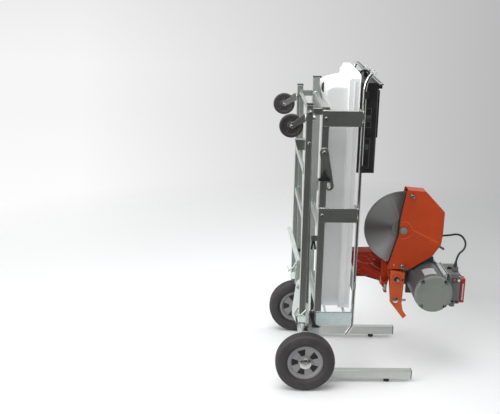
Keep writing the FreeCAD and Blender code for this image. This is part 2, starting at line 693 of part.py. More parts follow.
def blade_arbor():
    """Shaft with the inner and outer flange, the nut and its belt pulley."""
    flange = BLADE_T / 2
    pulley = pulley_profile(ARBOR_PULLEY_R)
    shape = rod_y(ARBOR_R, ARBOR, -50, BELT_Y[1] + 4)
    return shape.fuse([rod_y(45.0, ARBOR, flange, 8), rod_y(45.0, ARBOR, -8, -flange),
                       rod_y(14.0, ARBOR, -54, -8), revolve_y(pulley, ARBOR)])


def pulley_profile(radius):
    y0, y1 = BELT_Y
    return [(0, y0 - 2), (radius + 5, y0 - 2), (radius + 5, y0 - 0.4), (radius, y0 - 0.4),
            (radius, y1 + 0.4), (radius + 5, y1 + 0.4), (radius + 5, y1 + 2), (0, y1 + 2)]


def drive_belt():
    gap = 0.3
    outer = link(MOTOR, MOTOR_PULLEY_R + 4.5, ARBOR, ARBOR_PULLEY_R + 4.5, *BELT_Y)
    return outer.cut(link(MOTOR, MOTOR_PULLEY_R + gap, ARBOR, ARBOR_PULLEY_R + gap,
                          BELT_Y[0] - 1, BELT_Y[1] + 1))


def belt_cover():
    y0 = MOTOR_Y[1]
    y1 = BELT_Y[1] + 8
    outer = link(MOTOR, 64, ARBOR, 56, y0, y1)
    inner = link(MOTOR, 64 - SHEET, ARBOR, 56 - SHEET, y0 + SHEET, y1 - SHEET)
    holes = [rod_y(ARBOR_R + 2, ARBOR, y0 - 1, y0 + 5), rod_y(ROTOR_R + 2, MOTOR, y0 - 1, y0 + 5)]
    return outer.cut(inner).cut(group(holes))


def motor_mount():
    """Clamp plate round the motor, joined to the arm."""
    outline = [(486, 327), (486, 440), (520, 468), (560, 495), (588, 511), (604, 504), (604, 450),
               (560, 327)]
    block = prism(outline, -8, ARM_Y[0])
    return block.fuse(rod_y(MOTOR_R + 7, MOTOR, -8, ARM_Y[0])).cut(rod_y(MOTOR_R, MOTOR, -10, 20))


def motor_housing():
    y0, y1 = MOTOR_Y
    shell = rod_y(MOTOR_R, MOTOR, y0 + 10, y1)
    shell = shell.cut(rod_y(MOTOR_R - 5, MOTOR, y0 + 9, y1 - 9))
    return shell.cut(rod_y(ROTOR_R + FIT, MOTOR, y1 - 10, y1 + 1))


def motor_end_bell():
    y0 = MOTOR_Y[0]
    disc = rod_y(MOTOR_R, MOTOR, y0, y0 + 10)
    rim = [edge for edge in disc.Edges if edge.BoundBox.YMax < y0 + 0.1]
    disc = disc.makeFillet(4, rim)
    boss = rod_y(28.0, MOTOR, y0 + 10, y0 + 26)
    return disc.fuse(boss).cut(rod_y(ROTOR_R + FIT, MOTOR, y0 + 12, y0 + 30))


def motor_stator():
    ring = rod_y(MOTOR_R - 5.3, MOTOR, -150, -70)
    return ring.cut(rod_y(56.0, MOTOR, -151, -69))


def motor_rotor():
    core = rod_y(55.3, MOTOR, -150, -70)
    shaft = rod_y(ROTOR_R, MOTOR, MOTOR_Y[0] + 14, BELT_Y[1] + 4)
    return shaft.fuse([core, revolve_y(pulley_profile(MOTOR_PULLEY_R), MOTOR)])


def switch_box():
    outer = fillet_along(box(*BOX_X, *BOX_Y, *BOX_Z), vec(0, 1, 0), 6)
    inner = box(BOX_X[0] + 23, BOX_X[1] - 2, BOX_Y[0] + 3, BOX_Y[1] - 3, BOX_Z[0] + 3, BOX_Z[1] - 3)
    shape = outer.cut(inner).cut(rod_y(MOTOR_R, MOTOR, -210, 10))
    for place in (STOP_BUTTON, START_BUTTON):
        shape = shape.cut(rod_y(5.8, place, BOX_Y[0] - 1, BOX_Y[0] + 4))
    x = BOX_X[1]
    far = FLAP_END + 0.3
    ears = [box(x - 4, x + 6, BOX_Y[0] - 3, BOX_Y[0], 448, 456), box(x, x + 6, far, far + 3, 448, 456)]
    return group([shape] + ears)


def motor_plate():
    """Blank rating plate on the motor's upper side."""
    patch = box(532, 585, -168, -96, MOTOR[1] + 60, MOTOR[1] + 100)
    return rod_y(MOTOR_R + 1.2, MOTOR, -168, -96).cut(rod_y(MOTOR_R, MOTOR, -170, -90)).common(patch)


def button(place):
    flange = rod_y(6.8, place, BOX_Y[0] + 4, BOX_Y[0] + 6)
    return rod_y(5.5, place, BOX_Y[0] - 6, BOX_Y[0] + 4).fuse(flange)


def stop_flap():
    x = BOX_X[1]
    outer = fillet_along(box(x + 2, x + 20, BOX_Y[0], FLAP_END, 340, 454), vec(0, 1, 0), 1.2)
    inner = box(x + 1, x + 17, BOX_Y[0] + 3, FLAP_END - 3, 343, 451)
    return outer.cut(inner)


LEAD_POINTS = [(616, 27, 597), (664, 27, 597), (722, 18, 612), (750, 0, 580), (738, -32, 553),
               (691, -84, 544), (681, -105, 505)]


def cable_glands():
    """Two glands on the box, the plug inlet beneath it and the lead's clip on the guard."""
    top = BOX_Z[1]
    end = vec(*LEAD_POINTS[-1])
    aim = end.sub(vec(*LEAD_POINTS[-2]))
    aim.normalize()
    x, y = GLAND
    nut = fillet_along(box(x - 12, x + 12, y - 12, y + 12, top, top + 21), vec(0, 0, 1), 2.5)
    boot = rod(7.5, end, end.add(aim.multiply(14)))
    plug = rod_z(10.0, 664, -72, top, top + 6).fuse(rod_z(8.0, 664, -72, top, top + 9))
    inlet = rod_z(13.0, 674, -124, BOX_Z[0] - 20, BOX_Z[0])
    clip = box(600, 616, GUARD_Y[1], GUARD_Y[1] + 14, 592, 608)
    return group([nut.fuse(boot), plug, inlet, clip])


def head_lead():
    """Flexible lead from the guard's clip to the switch box: straight runs and tangent arcs."""
    points = [vec(*point) for point in LEAD_POINTS]
    edges = []
    start = points[0]
    for before, corner, after in zip(points, points[1:], points[2:]):
        back = before.sub(corner)
        ahead = after.sub(corner)
        half_turn = (math.pi - back.getAngle(ahead)) / 2
        setback = 0.45 * min(back.Length, ahead.Length)
        radius = setback / math.tan(half_turn)
        back.normalize()
        ahead.normalize()
        inward = back.add(ahead)
        inward.normalize()
        enter = corner.add(back * setback)
        leave = corner.add(ahead * setback)
        apex = corner.add(inward * (radius / math.cos(half_turn) - radius))
        edges.append(Part.LineSegment(start, enter).toShape())
        edges.append(Part.Arc(enter, apex, leave).toShape())
        print("lead bend radius %.0f mm" % radius)
        start = leave
    edges.append(Part.LineSegment(start, points[-1]).toShape())
    path = Part.Wire(edges)
    section = Part.Wire([Part.Circle(points[0], points[1].sub(points[0]), LEAD_R).toShape()])
    shape = path.makePipeShell([section], True, False)
    swept = math.pi * LEAD_R ** 2 * path.Length
    print("lead length %.0f mm, volume over swept volume %.4f" % (path.Length, shape.Volume / swept))
    return shape


def head_bolts():
    """Bolt heads of the bracket, guard and motor, and the guard's wing lever."""
    y = MOTOR_Y[0]
    shapes = [rod_y(5.0, (MOTOR[0] + dx, MOTOR[1] + dz), y - 4, y)
              for dx in (-54, 54) for dz in (-54, 54)]
    shapes.append(rod_y(12.0, (432, 309), -57, -52))
    shapes.append(rod_y(7.0, (471, 808), -51, GUARD_Y[0]))
    shapes.append(rod_x(6.0, 462.7, 480, -48, 306))
    lever = rod_y(9.0, (449, 474), -58, GUARD_Y[0]).fuse(link((449, 474), 6, (478, 463), 4, -64, -58))
    shapes.append(lever)
    return group(shapes)


# ---------------------------------------------------------------- all the pieces
def build():
    nodes["side_tubes"] = side_tubes()
    nodes["frame_cross_tubes"] = frame_cross_tubes()
    nodes["frame_end_caps"] = frame_end_caps()
    nodes["toe_bars"] = toe_bars()
    nodes["toe_pads"] = toe_pads()
    nodes["axle"] = axle()
    nodes["axle_brackets"] = axle_brackets()
    nodes["rear_panel"] = rear_panel()
    nodes["guide_rails"] = guide_rails()
    nodes["side_bands"] = side_bands()
    nodes["frame_bolts"] = frame_bolts()
    nodes["leg_arms"] = group([leg_arms(), cam_tab()])
    nodes["water_tray"] = water_tray()
    nodes["column_base"] = column_base()
    nodes["column"] = column()
    nodes["splash_curtain"] = splash_curtain()
    nodes["pivot_block"] = pivot_block()
    nodes["pivot_shaft"] = pivot_shaft()
    nodes["counter_spring"] = counter_spring()
    nodes["stop_pads"] = stop_pads()
    nodes["latch_lever"] = latch_lever()
    nodes["latch_knob"] = latch_knob()
    nodes["cam_lever"] = cam_lever()
    nodes["front_legs"] = front_legs()
    nodes["front_leg_caps"] = front_leg_caps()
    nodes["rear_legs"] = group([rear_legs(), stay_bolt()])
    nodes["rear_leg_caps"] = rear_leg_caps()
    nodes["fold_stay"] = fold_stay()
    for name, side in (("near", -1), ("far", 1)):
        nodes[name + "_castor_fork"] = castor_fork(side)
        nodes[name + "_castor_wheel"] = castor_wheel(side)
        nodes[name + "_tyre"] = tyre(side)
    nodes["near_hub"] = hub()
    nodes["far_hub"] = across(hub())
    nodes["table_top"] = table_top()
    nodes["table_guides"] = table_guides()
    nodes["scale_fence"] = scale_fence()
    nodes["wire_clip"] = wire_clip()
    nodes["head_bracket"] = head_bracket()
    nodes["guard_shell"] = guard_shell()
    nodes["guard_side_cover"] = guard_side_cover()
    nodes["saw_blade"] = saw_blade()
    nodes["blade_arbor"] = blade_arbor()
    nodes["drive_belt"] = drive_belt()
    nodes["belt_cover"] = belt_cover()
    nodes["motor_mount"] = motor_mount()
    nodes["motor_housing"] = motor_housing()
    nodes["motor_end_bell"] = motor_end_bell()
    nodes["motor_stator"] = motor_stator()
    nodes["motor_rotor"] = motor_rotor()
    nodes["motor_plate"] = motor_plate()
    nodes["switch_box"] = switch_box()
    nodes["start_button"] = button(START_BUTTON)
    nodes["stop_button"] = button(STOP_BUTTON)
    nodes["stop_flap"] = stop_flap()
    nodes["cable_glands"] = cable_glands()
    nodes["head_lead"] = head_lead()
    nodes["head_bolts"] = head_bolts()


def export():
    os.makedirs("parts", exist_ok=True)
    whole = FreeCAD.BoundBox()
    for shape in nodes.values():
        whole.add(shape.BoundBox)
    shift = vec(-whole.Center.x, -whole.Center.y, -whole.ZMin)
    print("shift %.3f %.3f %.3f" % (shift.x, shift.y, shift.z))
    print("size %.1f %.1f %.1f" % (whole.XLength, whole.YLength, whole.ZLength))
    for name, shape in nodes.items():
        shape.translate(shift)
        shape.exportStep("parts/%s.step" % name)
        if not shape.isValid():
            print("not valid:", name)


build()
export()
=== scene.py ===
import json
import math
import bmesh
import bpy
from bpy.props import FloatProperty, FloatVectorProperty, IntProperty, PointerProperty
from mathutils import Matrix, Vector

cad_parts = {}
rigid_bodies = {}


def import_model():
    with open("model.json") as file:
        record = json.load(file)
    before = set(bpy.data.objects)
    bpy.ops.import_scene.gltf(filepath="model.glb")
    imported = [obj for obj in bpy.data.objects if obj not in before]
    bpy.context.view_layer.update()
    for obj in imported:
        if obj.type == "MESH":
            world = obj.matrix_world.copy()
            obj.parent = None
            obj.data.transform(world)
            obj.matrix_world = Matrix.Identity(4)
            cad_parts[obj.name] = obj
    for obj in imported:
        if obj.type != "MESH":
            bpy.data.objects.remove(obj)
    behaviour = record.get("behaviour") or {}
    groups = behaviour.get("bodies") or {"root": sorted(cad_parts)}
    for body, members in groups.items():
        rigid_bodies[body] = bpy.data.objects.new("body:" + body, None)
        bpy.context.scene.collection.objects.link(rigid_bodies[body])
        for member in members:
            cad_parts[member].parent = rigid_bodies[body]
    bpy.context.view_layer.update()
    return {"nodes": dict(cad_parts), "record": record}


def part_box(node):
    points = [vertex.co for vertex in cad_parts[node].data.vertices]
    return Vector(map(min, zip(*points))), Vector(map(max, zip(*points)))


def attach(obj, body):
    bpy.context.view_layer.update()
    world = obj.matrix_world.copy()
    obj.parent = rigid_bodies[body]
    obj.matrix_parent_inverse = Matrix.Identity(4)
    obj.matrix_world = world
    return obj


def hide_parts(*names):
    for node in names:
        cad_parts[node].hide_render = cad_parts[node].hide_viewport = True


bl_info = {
    "name": "Folding Masonry Saw",
    "version": (1, 0, 0),
    "blender": (4, 5, 0),
    "location": "View3D > Sidebar > Masonry Saw",
    "description": "Dresses the folded masonry table saw: finishes, rebuilt pieces, floor, light and camera",
    "category": "Object",
}

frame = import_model()
NODES = frame["nodes"]
SLOT_OF = {part["node"]: part["material_slot"] for part in frame["record"]["subparts"]}
MM = 0.001
NEAR, FAR = -1, 1
UP = Vector((0, 0, 1))
AWAY = Vector((0, 1, 0))
RIGHT = Vector((1, 0, 0))


def middle(node):
    low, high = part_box(node)
    return (low + high) / 2


# The drawing's own axes: x = 0 and z = 123 at the axle, y = 0 on the centre plane, in millimetres.
AXLE_Z = 123.0
AXLE = middle("axle")
WHEEL_Y, LEG_Y, RAIL_FACE = 311, 261, 250.6
CASTOR, ARBOR, MOTOR = (-90, 1160), (448, 644), (571, 397)
GUARD_FACE, BOX_FACE = -45, -152.4
END_BOLT_TURNS = (48, 132, 228, 312)
# Angles in radians: the least turn of an edge that is rounded, and of one that is shaded sharp.
CORNER, NODE_CORNER = 0.5, 0.7
SHARP, NODE_SHARP = 0.6, 0.75


def at(x, y, z):
    """A point of the drawing, as a vector in the frame."""
    return AXLE + Vector((x, y, z - AXLE_Z)) * MM


def sides(side, inner, outer):
    """A wall's two faces on one side of the centre plane, the lower first."""
    return sorted((side * inner, side * outer))


def evenly(count, start=0.0):
    return [start + 360 * i / count for i in range(count)]


def circle(centre, radius, turns):
    """Points about a Y line through the centre, at angles in degrees."""
    x, y, z = centre
    return [(x + radius * math.cos(math.radians(turn)), y, z + radius * math.sin(math.radians(turn)))
            for turn in turns]


def both_ways(half):
    """A ring's profile from its half on the positive side."""
    return [(radius, -travel) for radius, travel in half] + list(reversed(half))


def size(name, text, value):
    return FloatProperty(name=name, description=text, default=value, min=0.0, unit="LENGTH")


def paint(name, text, value):
    return FloatVectorProperty(name=name, description=text, default=value, min=0.0, max=1.0, subtype="COLOR")


class SawSizes(bpy.types.PropertyGroup):
    """Sizes of the rebuilt details."""

    bolt: size("Bolt head", "Radius of the larger hexagon heads", 0.0085)
    bolt_height: size("Bolt height", "Height of the larger hexagon heads", 0.0055)
    weld: size("Weld bead", "Radius of one weld ripple", 0.0024)
    weld_step: size("Weld step", "Distance between weld ripples", 0.0021)
    rib: size("Rib", "Width of the table's ribs", 0.004)
    mark_step: size("Mark step", "Distance between the fence's marks", 0.005)
    coil_wire: size("Spring wire", "Radius of the counter spring's wire", 0.0017)
    fold: size("Curtain fold", "Depth of the splash curtain's folds", 0.006)
    coil_turns: IntProperty(name="Spring turns", description="Turns of the counter spring", default=9, min=3)


class SawColours(bpy.types.PropertyGroup):
    """Base colours of the finishes."""

    zinc: paint("Zinc", "Bright zinc plating", (0.56, 0.59, 0.565))
    panel: paint("Panel zinc", "Dull spangled sheet", (0.60, 0.71, 0.70))
    tray: paint("Tray", "Rolled tray sheet", (0.80, 0.80, 0.80))
    orange: paint("Orange", "Guard enamel", (0.46, 0.046, 0.003))
    bracket: paint("Bracket", "Bracket and tip enamel", (0.62, 0.100, 0.022))
    red: paint("Red", "Column enamel", (0.48, 0.048, 0.008))
    cloth: paint("Cloth", "Splash curtain", (0.21, 0.011, 0.002))
    motor: paint("Motor", "Motor body enamel", (0.070, 0.080, 0.086))
    end: paint("End bell", "Motor end enamel", (0.185, 0.205, 0.180))
    box: paint("Switch box", "Moulded box", (0.135, 0.140, 0.132))
    flap: paint("Flap", "Stop flap", (0.42, 0.016, 0.024))
    tyre: paint("Tyre", "Tyre rubber", (0.036, 0.032, 0.033))
    hub: paint("Hub", "Moulded hub", (0.26, 0.255, 0.26))
    blade: paint("Blade", "Satin blade steel", (0.40, 0.385, 0.37))
    floor: paint("Floor", "Studio floor", (0.86, 0.86, 0.86))


# ------------------------------------------------------------------ nodes
class Sock:
    """A socket whose arithmetic adds Math nodes."""

    def __init__(self, maker, socket):
        self.maker = maker
        self.socket = socket

    def math(self, operation, *values):
        return self.maker.add("ShaderNodeMath", {"operation": operation}, dict(enumerate(values)))

    def __add__(self, other):
        return self.math("ADD", self, other)

    __radd__ = __add__

    def __sub__(self, other):
        return self.math("SUBTRACT", self, other)

    def __rsub__(self, other):
        return self.math("SUBTRACT", other, self)

    def __mul__(self, other):
        return self.math("MULTIPLY", self, other)

    __rmul__ = __mul__

    def __pow__(self, other):
        return self.math("POWER", self, other)

    def sine(self):
        return self.math("SINE", self)

    def clamp(self):
        return self.maker.add("ShaderNodeClamp", {}, {"Value": self})


class Maker:
    """Adds nodes to a tree."""

    def __init__(self, tree):
        self.tree = tree

    def add(self, kind, settings=None, inputs=None, output=0):
        node = self.tree.nodes.new(kind)
        for name, value in (settings or {}).items():
            setattr(node, name, value)
        for name, value in (inputs or {}).items():
            self.put(node.inputs[name], value)
        return Sock(self, node.outputs[output])

    def put(self, socket, value):
        if isinstance(value, Sock):
            self.tree.links.new(value.socket, socket)
        elif socket.type == "RGBA" and len(value) == 3:
            socket.default_value = (*value, 1)
        else:
            socket.default_value = value

    def vector(self, operation, *values, output=0):
        return self.add("ShaderNodeVectorMath", {"operation": operation}, dict(enumerate(values)), output)

    def split(self, vector):
        node = self.add("ShaderNodeSeparateXYZ", {}, {0: vector}).socket.node
        return [Sock(self, socket) for socket in node.outputs]


class Skin(Maker):
    """A material or world under construction."""

    def __init__(self, data):
        data.use_nodes = True
        data.node_tree.nodes.clear()
        super().__init__(data.node_tree)
        self.data = data

    def place(self):
        return self.add("ShaderNodeTexCoord", {}, {}, "Object")

    def mix(self, factor, a, b):
        return self.add("ShaderNodeMix", {"data_type": "RGBA"}, {0: factor, 6: a, 7: b}, 2)

    def noise(self, scale, detail=4.0, rough=0.55, stretch=None, seed=0.0, where=None):
        where = where or self.place()
        if stretch:
            where = self.vector("MULTIPLY", where, stretch)
        where = self.vector("ADD", where, (seed, seed * 0.7, -seed))
        inputs = {"Vector": where, "Scale": scale, "Detail": detail, "Roughness": rough}
        return self.add("ShaderNodeTexNoise", {}, inputs)

    def spread(self, value, low, high, to_low=0.0, to_high=1.0):
        inputs = {"Value": value, "From Min": low, "From Max": high, "To Min": to_low, "To Max": to_high}
        return self.add("ShaderNodeMapRange", {}, inputs)

    def bump(self, height, strength, distance, normal=None):
        inputs = {"Height": height, "Strength": strength, "Distance": distance}
        if normal is not None:
            inputs["Normal"] = normal
        return self.add("ShaderNodeBump", {}, inputs)

    def rounded(self, radius):
        """The normal of a surface whose edges are rounded, and how much of an edge a point lies on."""
        soft = self.add("ShaderNodeBevel", {"samples": 4}, {"Radius": radius})
        normal = self.add("ShaderNodeNewGeometry", {}, {}, "Normal")
        facing = self.vector("DOT_PRODUCT", soft, normal, output=1)
        return soft, self.spread(facing, 0.985, 0.82)

    def worn(self, colour, radius, share, bare):
        """Rounded edges' normal and wear, and the colour with the bare one mixed in along them."""
        soft, wear = self.rounded(radius)
        return soft, wear, self.mix(share * wear, colour, bare)

    def around(self, centre):
        """Distance from the Y line through a point, and the angle about it."""
        x, _, z = self.split(self.vector("SUBTRACT", self.place(), centre))
        return (x * x + z * z) ** 0.5, z.math("ARCTAN2", z, x)

    def surface(self, **sockets):
        inputs = {name.replace("_", " "): value for name, value in sockets.items()}
        self.finish(self.add("ShaderNodeBsdfPrincipled", {}, inputs))
        return self.data

    def finish(self, shader, kind="ShaderNodeOutputMaterial"):
        self.put(self.tree.nodes.new(kind).inputs["Surface"], shader)


class Growth(Maker):
    """A geometry node tree with named inputs, which puts a shape on each point of its source."""

    def __init__(self, name):
        super().__init__(bpy.data.node_groups.new(name, "GeometryNodeTree"))
        self.ids = {}
        for way in ("INPUT", "OUTPUT"):
            self.tree.interface.new_socket("Geometry", in_out=way, socket_type="NodeSocketGeometry")
        self.source = self.tree.nodes.new("NodeGroupInput")
        self.geometry = Sock(self, self.source.outputs[0])

    def named(self, name, kind="NodeSocketFloat"):
        socket = self.tree.interface.new_socket(name, in_out="INPUT", socket_type=kind)
        self.ids[name] = socket.identifier
        return Sock(self, self.source.outputs[name])

    def sizes(self, *names):
        return [self.named(name) for name in names]

    def joined(self, *parts):
        node = self.tree.nodes.new("GeometryNodeJoinGeometry")
        for part in parts:
            self.tree.links.new(part.socket, node.inputs[0])
        return Sock(self, node.outputs[0])

    def triple(self, x, y, z):
        return self.add("ShaderNodeCombineXYZ", {}, {"X": x, "Y": y, "Z": z})

    def raised(self, shape, height):
        inputs = {"Geometry": shape, "Translation": self.triple(0.0, 0.0, height)}
        return self.add("GeometryNodeTransform", {}, inputs)

    def stepped(self, step):
        """Points at an even step along the source's lines."""
        line = self.add("GeometryNodeMeshToCurve", {}, {"Mesh": self.geometry})
        return self.add("GeometryNodeResampleCurve", {"mode": "LENGTH"}, {"Curve": line, "Length": step})

    def placed(self, points, shape, **turns):
        """Ends the tree with the shape on each point, realised and with its material."""
        shape = self.add("GeometryNodeInstanceOnPoints", {}, {"Points": points, "Instance": shape, **turns})
        real = self.add("GeometryNodeRealizeInstances", {}, {0: shape})
        inputs = {"Geometry": real, "Material": self.named("Material", "NodeSocketMaterial")}
        finished = self.add("GeometryNodeSetMaterial", {}, inputs)
        self.put(self.tree.nodes.new("NodeGroupOutput").inputs[0], finished)
        return self


# ------------------------------------------------------------------ finishes
FINISHES = {}
SHADES = {"bracket_paint": "orange_paint", "pale_zinc": "panel_zinc"}
# pale_zinc is a lighter copy of the zinc, a painted highlight for the floor's reflection in these parts.
NODE_FINISHES = {"head_bracket": "bracket_paint", "column_base": "zinc_steel", "axle_brackets": "pale_zinc",
                 "fold_stay": "pale_zinc"}


def new_skin(name):
    return Skin(bpy.data.materials.new(name))


def times(colour, factor, extra=0.0):
    return tuple(min(1.0, channel * factor + extra) for channel in colour)


def zinc_finish(name, base, rough=0.27, spangle=0.35, dull=0.08, metal=0.95):
    """Zinc plating: faint crystals, drawn streaks, dull patches and bright rubbed edges."""
    skin = new_skin(name)
    crystals = skin.add("ShaderNodeTexVoronoi", {}, {"Vector": skin.place(), "Scale": 150.0}, "Color")
    grain = skin.add("ShaderNodeSeparateColor", {}, {"Color": crystals})
    streaks = skin.noise(70.0, 3.0, 0.6, (1.0, 1.0, 0.04))
    patches = skin.noise(8.0, 5.0, 0.6, seed=3.1)
    tone = skin.spread(patches, 0.3, 0.7, 0.86, 1.04) * skin.spread(streaks, 0.3, 0.7, 0.95, 1.04)
    tone = tone * (1.0 - spangle * 0.2 * grain)
    colour = skin.mix(tone.clamp(), times(base, 0.5), base)
    soft, wear, colour = skin.worn(colour, 0.0014, 0.5, times(base, 1.25, 0.05))
    roughness = rough + dull * patches + 0.06 * spangle * grain - 0.06 * wear
    normal = skin.bump(streaks, 0.03, 0.0003, soft)
    return skin.surface(Base_Color=colour, Metallic=metal, Roughness=roughness, Normal=normal)


def tray_finish(name, base):
    """Rolled sheet with long soft streaks and water marks, with both ends and the near wall lightened as
    painted highlights.
    """
    skin = new_skin(name)
    rolled = skin.noise(26.0, 3.0, 0.5, (1.0, 1.0, 0.02))
    marks = skin.noise(5.0, 5.0, 0.6, seed=5.0)
    drips = skin.noise(30.0, 3.0, 0.5, (1.0, 1.0, 0.06), 8.0)
    scuffs = skin.spread(skin.noise(80.0, 3.0, 0.7, (0.2, 1.0, 1.0), 2.0), 0.68, 0.76)
    top, foot, near_wall = (1.13, 1.20), (0.375, 0.335), (-0.159, -0.150)
    depth, _, height = skin.split(skin.place())
    ends = skin.spread(height, *top) + skin.spread(height, *foot)
    colour = skin.mix(skin.spread(marks, 0.35, 0.65), times(base, 0.93), base)
    colour = skin.mix(skin.spread(drips, 0.55, 0.80, 0.0, 0.15), colour, times(base, 0.8))
    # Painted highlights: both ends lightened towards white, then the near wall lightened to white.
    colour = skin.mix(0.85 * ends.clamp(), colour, (0.97, 0.97, 0.97))
    colour = skin.mix(0.55 * skin.spread(depth, *near_wall), colour, (1.0, 1.0, 1.0))
    colour = skin.mix(0.2 * scuffs, colour, times(base, 0.7))
    soft, _, colour = skin.worn(colour, 0.0010, 0.4, (0.92, 0.92, 0.92))
    roughness = skin.spread(rolled, 0.3, 0.7, 0.30, 0.38) + 0.10 * scuffs
    normal = skin.bump(rolled, 0.05, 0.0005, skin.bump(marks, 0.08, 0.003, soft))
    return skin.surface(Base_Color=colour, Metallic=0.30, Roughness=roughness, Normal=normal)


def paint_finish(name, base, rough=0.40, coat=0.05, chips=0.3, edge=0.0018):
    """Enamel: orange peel, faint fading, grime in hollows, chipped edges, and edges lightened partly by wear
    and partly as a painted highlight.
    """
    skin = new_skin(name)
    fading = skin.noise(7.0, 4.0, 0.55, seed=1.7)
    grime = skin.spread(skin.noise(24.0, 6.0, 0.62, seed=4.2), 0.52, 0.78)
    colour = skin.mix(skin.spread(fading, 0.3, 0.7), times(base, 0.90), times(base, 1.08, 0.002))
    colour = skin.mix(0.25 * grime, colour, times(base, 0.5))
    # Edges lightened: partly wear, partly a painted highlight along them.
    soft, wear, colour = skin.worn(colour, edge, 0.40, times(base, 1.3, 0.04))
    ragged = skin.spread(skin.noise(180.0, 3.0, 0.7, seed=9.0) * wear, 0.50, 0.62)
    colour = skin.mix(chips * ragged, colour, (0.40, 0.38, 0.36))
    roughness = rough + 0.14 * grime + 0.05 * fading
    normal = skin.bump(skin.noise(650.0, 2.0, 0.5), 0.05, 0.0003, skin.bump(fading, 0.05, 0.003, soft))
    return skin.surface(Base_Color=colour, Roughness=roughness, Normal=normal, Coat_Weight=coat,
                        Coat_Roughness=0.2, Specular_IOR_Level=0.3)


def moulded_finish(name, base, rough=0.5, texture=0.25, dust=0.25):
    """Moulded plastic or rubber with a fine texture, dust and slightly rubbed edges."""
    skin = new_skin(name)
    dusty = skin.spread(skin.noise(16.0, 6.0, 0.65, seed=2.2), 0.45, 0.80)
    shade = skin.spread(skin.noise(5.0, 3.0, 0.5, seed=6.0), 0.3, 0.7)
    colour = skin.mix(shade, times(base, 0.85), times(base, 1.1))
    colour = skin.mix(dust * dusty, colour, times(base, 0.5, 0.12))
    soft, _, colour = skin.worn(colour, 0.0012, 0.35, times(base, 1.3, 0.03))
    normal = skin.bump(skin.noise(900.0, 2.0, 0.6), texture, 0.0003, soft)
    return skin.surface(Base_Color=colour, Roughness=rough + 0.15 * dusty, Normal=normal)


def bright_finish(name, base, rough=0.15):
    """Plated steel with fine turning marks and small dull spots."""
    skin = new_skin(name)
    spots = skin.spread(skin.noise(120.0, 4.0, 0.6, seed=3.0), 0.55, 0.75)
    cloudy = skin.noise(14.0, 3.0, 0.5, seed=1.0)
    colour = skin.mix(0.35 * spots, base, times(base, 0.6))
    soft, _, colour = skin.worn(colour, 0.0008, 0.3, times(base, 1.2))
    roughness = rough + 0.12 * spots + 0.06 * cloudy
    normal = skin.bump(skin.noise(300.0, 2.0, 0.5, (1.0, 1.0, 0.1)), 0.05, 0.0003, soft)
    return skin.surface(Base_Color=colour, Metallic=1.0, Roughness=roughness, Normal=normal)


def blade_finish(name, base):
    """Ground steel core: circular grinding lines, broad radial bands of painted sheen, two painted glints
    and a darker rim.
    """
    skin = new_skin(name)
    radius, angle = skin.around(middle("saw_blade"))
    rings = skin.noise(1.0, 3.0, 0.7, where=skin.add("ShaderNodeCombineXYZ", {}, {"X": radius * 900.0}))
    # Painted sheen: radial bands set by the angle about the arbor, lighter towards the outside.
    painted_sheen_bands = (0.5 - 0.5 * (angle * 3.0 - 1.676).sine()) * (0.62 + 0.38 * (angle - 2.618).sine())
    fine = (angle * 9.0 + 1.9).sine() * 0.05
    tone = (painted_sheen_bands + fine + 0.10 * rings).clamp() * skin.spread(radius, 0.10, 0.15, 1.0, 1.12)
    colour = skin.mix(tone.clamp(), times(base, 0.40), (0.62, 0.625, 0.62))
    # Two painted glints along fixed angles.
    for turn in (-0.35, -2.58):
        painted_glint = skin.spread((angle + turn).sine(), 0.9980, 1.0)
        colour = skin.mix(0.45 * painted_glint * skin.spread(radius, 0.172, 0.06), colour, times(base, 2.0))
    rim = skin.spread(radius, 0.158, 0.164)
    colour = skin.mix(0.20 * rim, colour, times(base, 0.55))
    rust = skin.spread(skin.noise(60.0, 5.0, 0.65, seed=6.0), 0.60, 0.78)
    colour = skin.mix(0.25 * rust, colour, (0.20, 0.14, 0.10))
    soft, wear = skin.rounded(0.0008)
    roughness = skin.spread(rings, 0.3, 0.7, 0.36, 0.46) + 0.1 * rust - 0.05 * wear
    normal = skin.bump(rings, 0.10, 0.0003, soft)
    return skin.surface(Base_Color=colour, Metallic=0.55, Roughness=roughness, Normal=normal)


def cloth_finish(name, base):
    """Coated cloth: a close weave, creases that run up to one side, painted shade in the creases and painted
    highlights along their crests.
    """
    skin = new_skin(name)
    over = skin.add("ShaderNodeTexCoord", {}, {}, "UV")
    u, v, _ = skin.split(over)
    weave = (u * 5200.0).sine() * (v * 5200.0).sine()
    worn = skin.noise(14.0, 4.0, 0.6, seed=2.0)
    slanted = skin.add("ShaderNodeCombineXYZ", {}, {"X": u * 5.0, "Y": (v + 0.22 * u) * 34.0})
    folds = skin.noise(1.0, 2.0, 0.5, where=slanted, seed=1.0)
    painted_crest_highlight = skin.spread(((folds - 0.5) * (folds - 0.5)) ** 0.5, 0.018, 0.0)
    # Painted shade and light: the folds darken the colour in the creases and lighten it between them.
    colour = skin.mix(skin.spread(folds, 0.38, 0.62), times(base, 0.50), times(base, 1.9, 0.004))
    # Painted highlight along the crests.
    colour = skin.mix(0.75 * painted_crest_highlight, colour, (0.60, 0.16, 0.11))
    colour = skin.mix(skin.spread(weave, -1.0, 1.0, 0.0, 0.12), colour, times(base, 0.6))
    normal = skin.bump(weave, 0.2, 0.0003, skin.bump(folds, 0.8, 0.012, skin.bump(worn, 0.15, 0.003)))
    return skin.surface(Base_Color=colour, Roughness=0.42 + 0.2 * worn, Normal=normal,
                        Specular_IOR_Level=0.15)


